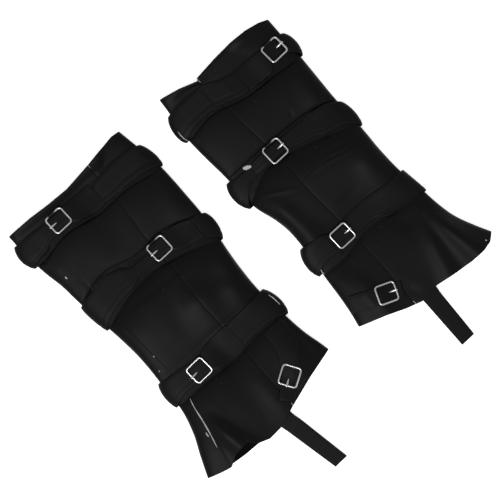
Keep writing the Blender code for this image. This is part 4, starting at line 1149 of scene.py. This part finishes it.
def makeStitches(name, cover, lines):
    # every stitch is the same small capsule, radius * sqrt(1 - t^2) thick along its length,
    # carried to its place, run and surface normal
    spots, ahead, up = (np.concatenate(part) for part in zip(*[stitchPoints(*l) for l in lines]))
    ahead /= np.maximum(np.linalg.norm(ahead, axis=1, keepdims=True), 1e-9)
    side = np.cross(up, ahead)
    side /= np.maximum(np.linalg.norm(side, axis=1, keepdims=True), 1e-9)
    up = np.cross(ahead, side)
    sides, rings = stitch["sides"], stitch["rings"]
    t = np.linspace(-stitch["endShare"], stitch["endShare"], rings)
    angle = 2 * math.pi * np.arange(sides) / sides
    size = stitch["radius"] * np.sqrt(1 - t ** 2)[:, None]
    long = np.broadcast_to(t[:, None] * stitch["length"] / 2, (len(t), len(angle))).ravel()
    wide = (size * np.cos(angle)).ravel()
    tall = (size * np.sin(angle)).ravel()
    points = (spots[:, None] + ahead[:, None] * long[:, None] + side[:, None] * wide[:, None]
              + up[:, None] * tall[:, None])
    # two quads close each six-sided end
    caps = np.array([[0, 3, 2, 1], [0, 5, 4, 3]])
    far = caps[:, ::-1] + (rings - 1) * sides
    one = np.concatenate([ringFaces(rings, sides, False), caps, far])
    faces = (one[None] + (np.arange(len(spots)) * rings * sides)[:, None, None]).reshape(-1, 4)
    made = putMesh(name, cover, points, faces, [threadLook], sharp=80)
    return made


def edgeThreads(outer, normals, kind, clip):
    # two lines of stitching in the grooves on a strip's outer face, without its ends
    lines = []
    places, rows = crossPlaces(), np.arange(len(outer))
    offset = grooves[kind][0] / np.linalg.norm(outer[:, -1] - outer[:, 0], axis=1)
    for w in (offset, 1 - offset):
        low = np.clip(np.searchsorted(places, w) - 1, 0, len(places) - 2)
        share = ((w - places[low]) / (places[low + 1] - places[low]))[:, None]
        line = mix(outer[rows, low], outer[rows, low + 1], share)
        lines.append((line[clip:-clip], normals[rows, low][clip:-clip]))
    return lines


def clothStitches(cover):
    # lines of stitching down both sides of the centre seam and along knee edge and hem
    lines = []
    for stretch in (0, 2, 4, 6):
        for side in (-1, 1):
            t = np.linspace(0.02, 0.98, 60)
            y = 200 - 60 * stretch + 0 * t
            x = lineAt(cover, "seam", y)
            # x and y each depend on the other, so both are worked out in turn
            for _ in range(6):
                cross = crossLines(cover, x, y, False)
                y = mix(cross[stretch], cross[stretch + 1], t)
                x = lineAt(cover, "seam", y) + side * relief["seamStitchAway"]
            lines.append(onCloth(cover, x, y))
    for edge, inside in ((0, -relief["kneeAway"]), (-1, relief["hemAway"])):
        y0 = edgeAt(cover["knee" if edge == 0 else "hem"], 0.0)
        t = np.linspace(0.03, 0.97, 160)
        left, right = lineAt(cover, "left", y0), lineAt(cover, "right", y0)
        if not cover["closureOnBack"]:
            left = lineAt(cover, "closure", y0) + 3
        x = mix(left, right, t)
        y = crossLines(cover, x, np.full_like(x, y0), False)[edge] + inside
        keep = np.abs(x - lineAt(cover, "seam", y)) > 3
        for part in np.split(np.arange(len(x)), np.where(~keep)[0]):
            part = part[keep[part]]
            if len(part) > 3:
                lines.append(onCloth(cover, x[part], y[part]))
    return lines


def onCloth(cover, x, y):
    # a line of points on the upper cloth and its normals, from the height's own slopes
    def level(px, py):
        return clothTop(cover, px, py) + seamRelief(cover, px, py) + hemRelief(cover, px, py)

    z = level(x, y)
    slopeX, slopeY = level(x + 0.5, y) - z, level(x, y + 0.5) - z
    normals = np.stack([-slopeX * 2, -slopeY * 2, np.ones_like(x)], -1)
    normals /= np.linalg.norm(normals, axis=1, keepdims=True)
    return np.stack([x, y, z], -1), normals


paleRibbonShape = {"steps": 40, "sides": 8, "rise": 0.3, "onCloth": 0.1, "onStrap": 0.3,
            "reach": 1.6, "taper": (0.04, 0.96), "waver": 0.2, "waves": 23}
rawEdgesAndPaintedHighlights = {
    # backing that peeps out, and pale strips painted as highlights along the strap loops: what it
    # lies on, width, then the points that it follows
    "left": [
        ("cloth", 0.75, (-79.5, -91), (-83, -103), (-86.5, -122), (-91, -142), (-97, -163)),
        # painted highlight: a pale strip along the curved top of the strap loop
        ("strap3", 0.65, (92.3, -61), (93.6, -67), (94.4, -74), (94.6, -81)),
        ("cloth", 0.9, (-90, 142.5), (-90.4, 140), (-89.6, 138.5)),
        ("cloth", 0.7, (-76, -15.5), (-76.3, -17.5)),
        ("cloth", 0.6, (-84.5, -35), (-84.2, -37)),
        ("cloth", 0.8, (-94.5, -138), (-95.5, -143), (-95, -145))],
    "right": [
        # painted highlight: a pale strip along the curved top of the strap loop
        ("strap1", 0.6, (-97.6, 181), (-98.2, 175), (-97.6, 168), (-95.5, 163.5)),
        ("strap2", 2.7, (-67.5, 86.0), (-62.5, 83.0), (-57.5, 81.0)),
        # painted highlight: a pale strip along the curved top of the strap loop
        ("strap3", 0.6, (-83.5, -84), (-84.6, -88), (-84.0, -92)),
        ("cloth", 0.9, (104, -205), (105.5, -206.5))],
}


def topOf(grid, x, y):
    # height of a strap's upper side at each place: mean of its points there, weighed by a
    # bell of their distance
    points = grid.reshape(-1, 3)
    points = points[points[:, 2] > strapShape["loopMiddle"] + 1]
    away = np.hypot(points[:, 0] - x[:, None], points[:, 1] - y[:, None])
    weight = bump(away, paleRibbonShape["reach"]) + 1e-12
    return (weight * points[:, 2]).sum(1) / weight.sum(1)


def makeRawEdgesAndPaintedHighlights(cover, tops):
    # thin ribbons of the pale backing, and pale strips of painted highlight on the strap loops:
    # an ellipse across, its width the root of a sine along it, so that both ends taper, and a
    # little wavy
    points, faces, before = [], [], 0
    t = np.linspace(0, 1, paleRibbonShape["steps"])
    around = np.linspace(0, 2 * math.pi, paleRibbonShape["sides"], endpoint=False)
    for under, half, *spots in rawEdgesAndPaintedHighlights[cover["name"]]:
        spots = np.array(spots, float)
        passed = passedAlong(spots)
        x, y = (smoothCurve(passed, column, t * passed[-1]) for column in spots.T)
        if under == "cloth":
            z = clothTop(cover, x, y) + paleRibbonShape["onCloth"]
        else:
            z = topOf(tops[under], x, y) + paleRibbonShape["onStrap"]
        runX, runY = np.gradient(x), np.gradient(y)
        run = np.hypot(runX, runY)
        width = half * np.sqrt(np.sin(math.pi * mix(*paleRibbonShape["taper"], t)))
        width = width * (1 + paleRibbonShape["waver"] * np.sin(t * paleRibbonShape["waves"]))
        side = width[:, None] * np.cos(around)
        points.append(np.stack([x[:, None] - (runY / run)[:, None] * side,
                                y[:, None] + (runX / run)[:, None] * side,
                                z[:, None] + paleRibbonShape["rise"] * np.sin(around)],
                               -1).reshape(-1, 3))
        faces.append(ringFaces(len(t), len(around), False) + before)
        before += len(t) * len(around)
    made = putMesh(f"{cover['name']}RawEdges", cover, np.concatenate(points),
                   np.concatenate(faces), [whiteLook], sharp=80)
    return made


def makeCover(cover):
    # the carriers are what a buckle can rest on, and the tops what a raw edge or a painted
    # highlight strip can lie on
    carriers, threads, tops = [*makePanels(cover)], [], {}
    print(cover["name"], "panels made")
    for number, strap in enumerate(cover["straps"], 1):
        band, outer, normals = makeStrap(cover, number, strap)
        threads += edgeThreads(outer, normals, "strap", 2)
        tongue, tongueOuter, tongueNormals = makeTongue(cover, number, strap)
        threads += edgeThreads(tongueOuter, tongueNormals, "tongue", 1)
        carriers += [band, tongue]
        tops[f"strap{number}"] = np.concatenate([outer, tongueOuter])
    ankle, outer, normals = makeAnkleStrap(cover)
    threads += edgeThreads(outer, normals, "ankle", 1)
    carriers.append(ankle)
    threads += edgeThreads(*makeStirrup(cover), "stirrup", 4)
    print(cover["name"], "straps made")
    bpy.context.view_layer.update()
    for number in range(1, 5):
        makeBuckle(cover, number, carriers)
    print(cover["name"], "buckles made")
    makeStitches(f"{cover['name']}Stitching", cover, threads)
    makeStitches(f"{cover['name']}ClothStitching", cover, clothStitches(cover))
    makeRawEdgesAndPaintedHighlights(cover, tops)


for cover in (leftCover, rightCover):
    makeCover(cover)
print("stitches and raw edges made")


# flat size that each cloth piece is cut to, in metres: width, length, area
cuts = {
    "left": {
        "FrontPanel": (0.118, 0.43, 0.0453), "WrapPanel": (0.345, 0.435, 0.141),
        "Strap1": (0.036, 0.44, 0.0150), "Strap2": (0.036, 0.43, 0.0147),
        "Strap3": (0.036, 0.42, 0.0143), "Tongue1": (0.033, 0.078, 0.0024),
        "Tongue2": (0.032, 0.075, 0.0022), "Tongue3": (0.039, 0.08, 0.0028),
        "AnkleStrap": (0.033, 0.11, 0.0031), "Stirrup": (0.024, 0.235, 0.0054)},
    "right": {
        "FrontPanel": (0.175, 0.43, 0.0725), "WrapPanel": (0.25, 0.435, 0.0975),
        "Strap1": (0.036, 0.42, 0.0143), "Strap2": (0.036, 0.42, 0.0143),
        "Strap3": (0.036, 0.43, 0.0147), "Tongue1": (0.037, 0.072, 0.0023),
        "Tongue2": (0.02, 0.056, 0.0010), "Tongue3": (0.033, 0.034, 0.0009),
        "AnkleStrap": (0.024, 0.077, 0.0018), "Stirrup": (0.026, 0.225, 0.0053)},
}


def declareSheets(cover):
    # straps and stirrup lie on the panels, and the wrap panel's back on the straps
    name = cover["name"]
    for part, (width, length, area) in cuts[name].items():
        below = {"FrontPanel": ["WrapPanel"], "WrapPanel": ["Strap1", "Strap2", "Strap3"]}
        below = below.get(part, ["FrontPanel", "WrapPanel"])
        if part.startswith("Tongue"):
            below = [part.replace("Tongue", "Strap")]
        extra = [bpy.data.objects[name + "RawEdges"]] if part == "FrontPanel" else []
        bpy.data.objects[name + part]
        [name + other for other in below]


for cover in (leftCover, rightCover):
    declareSheets(cover)


def makeFloor():
    # a wide pale sheet of paper on the floor
    bpy.ops.mesh.primitive_plane_add(size=6, location=(0, 0, -0.0006))
    floor = bpy.context.object
    floor.name = "paleFloor"
    look = Look("paleFloor", Specular_IOR_Level=0.0, Emission_Strength=0.6,
                Emission_Color=(1, 1, 1, 1))
    cloud = look.noise(look.objectPlace(), 3.0, 2.0)
    floor.data.materials.append(look.use(
        Base_Color=look.tint(cloud, (0.90, 0.90, 0.90), (0.93, 0.93, 0.93)), Roughness=1.0))


studio = {"world": 0.72, "photoCentre": (-1.8, 27.0), "up": (0.6820, 0.7314),
          "across": 0.6725, "lens": 180.0, "sensor": 36.0, "keyPlace": (-1.7, -1.0, 3.8),
          "keySize": 1.6, "keyPower": 110.0}


def makeLight(name, place, size, power, aim):
    # a round soft lamp that looks at the aim
    data = bpy.data.lights.new(name, "AREA")
    data.shape, data.size, data.energy = "DISK", size, power
    lamp = bpy.data.objects.new(name, data)
    lamp.location = place
    lamp.rotation_euler = (Vector(aim) - Vector(place)).to_track_quat("-Z", "Y").to_euler()
    bpy.context.scene.collection.objects.link(lamp)


def makeStudio():
    # an even white surround, one soft key light, and a long lens straight above
    world = bpy.data.worlds.new("studio")
    world.use_nodes = True
    world.node_tree.nodes["Background"].inputs["Color"].default_value = (1, 1, 1, 1)
    world.node_tree.nodes["Background"].inputs["Strength"].default_value = studio["world"]
    bpy.context.scene.world = world
    centreX, centreY = (value * 0.001 for value in studio["photoCentre"])
    upX, upY = studio["up"]
    bpy.context.scene.view_settings.view_transform = "Standard"
    makeLight("key", studio["keyPlace"], studio["keySize"], studio["keyPower"],
              (centreX, centreY, 0))
    data = bpy.data.cameras.new("camera")
    data.lens, data.sensor_width, data.clip_end = studio["lens"], studio["sensor"], 20
    camera = bpy.data.objects.new("camera", data)
    height = studio["across"] * studio["lens"] / studio["sensor"]
    right, up, back = Vector((upY, -upX, 0)), Vector((upX, upY, 0)), Vector((0, 0, 1))
    turn = Matrix((right, up, back)).transposed().to_4x4()
    camera.matrix_world = Matrix.Translation((centreX, centreY, height)) @ turn
    bpy.context.scene.collection.objects.link(camera)
    bpy.context.scene.camera = camera


makeFloor()
makeStudio()
print("studio made")
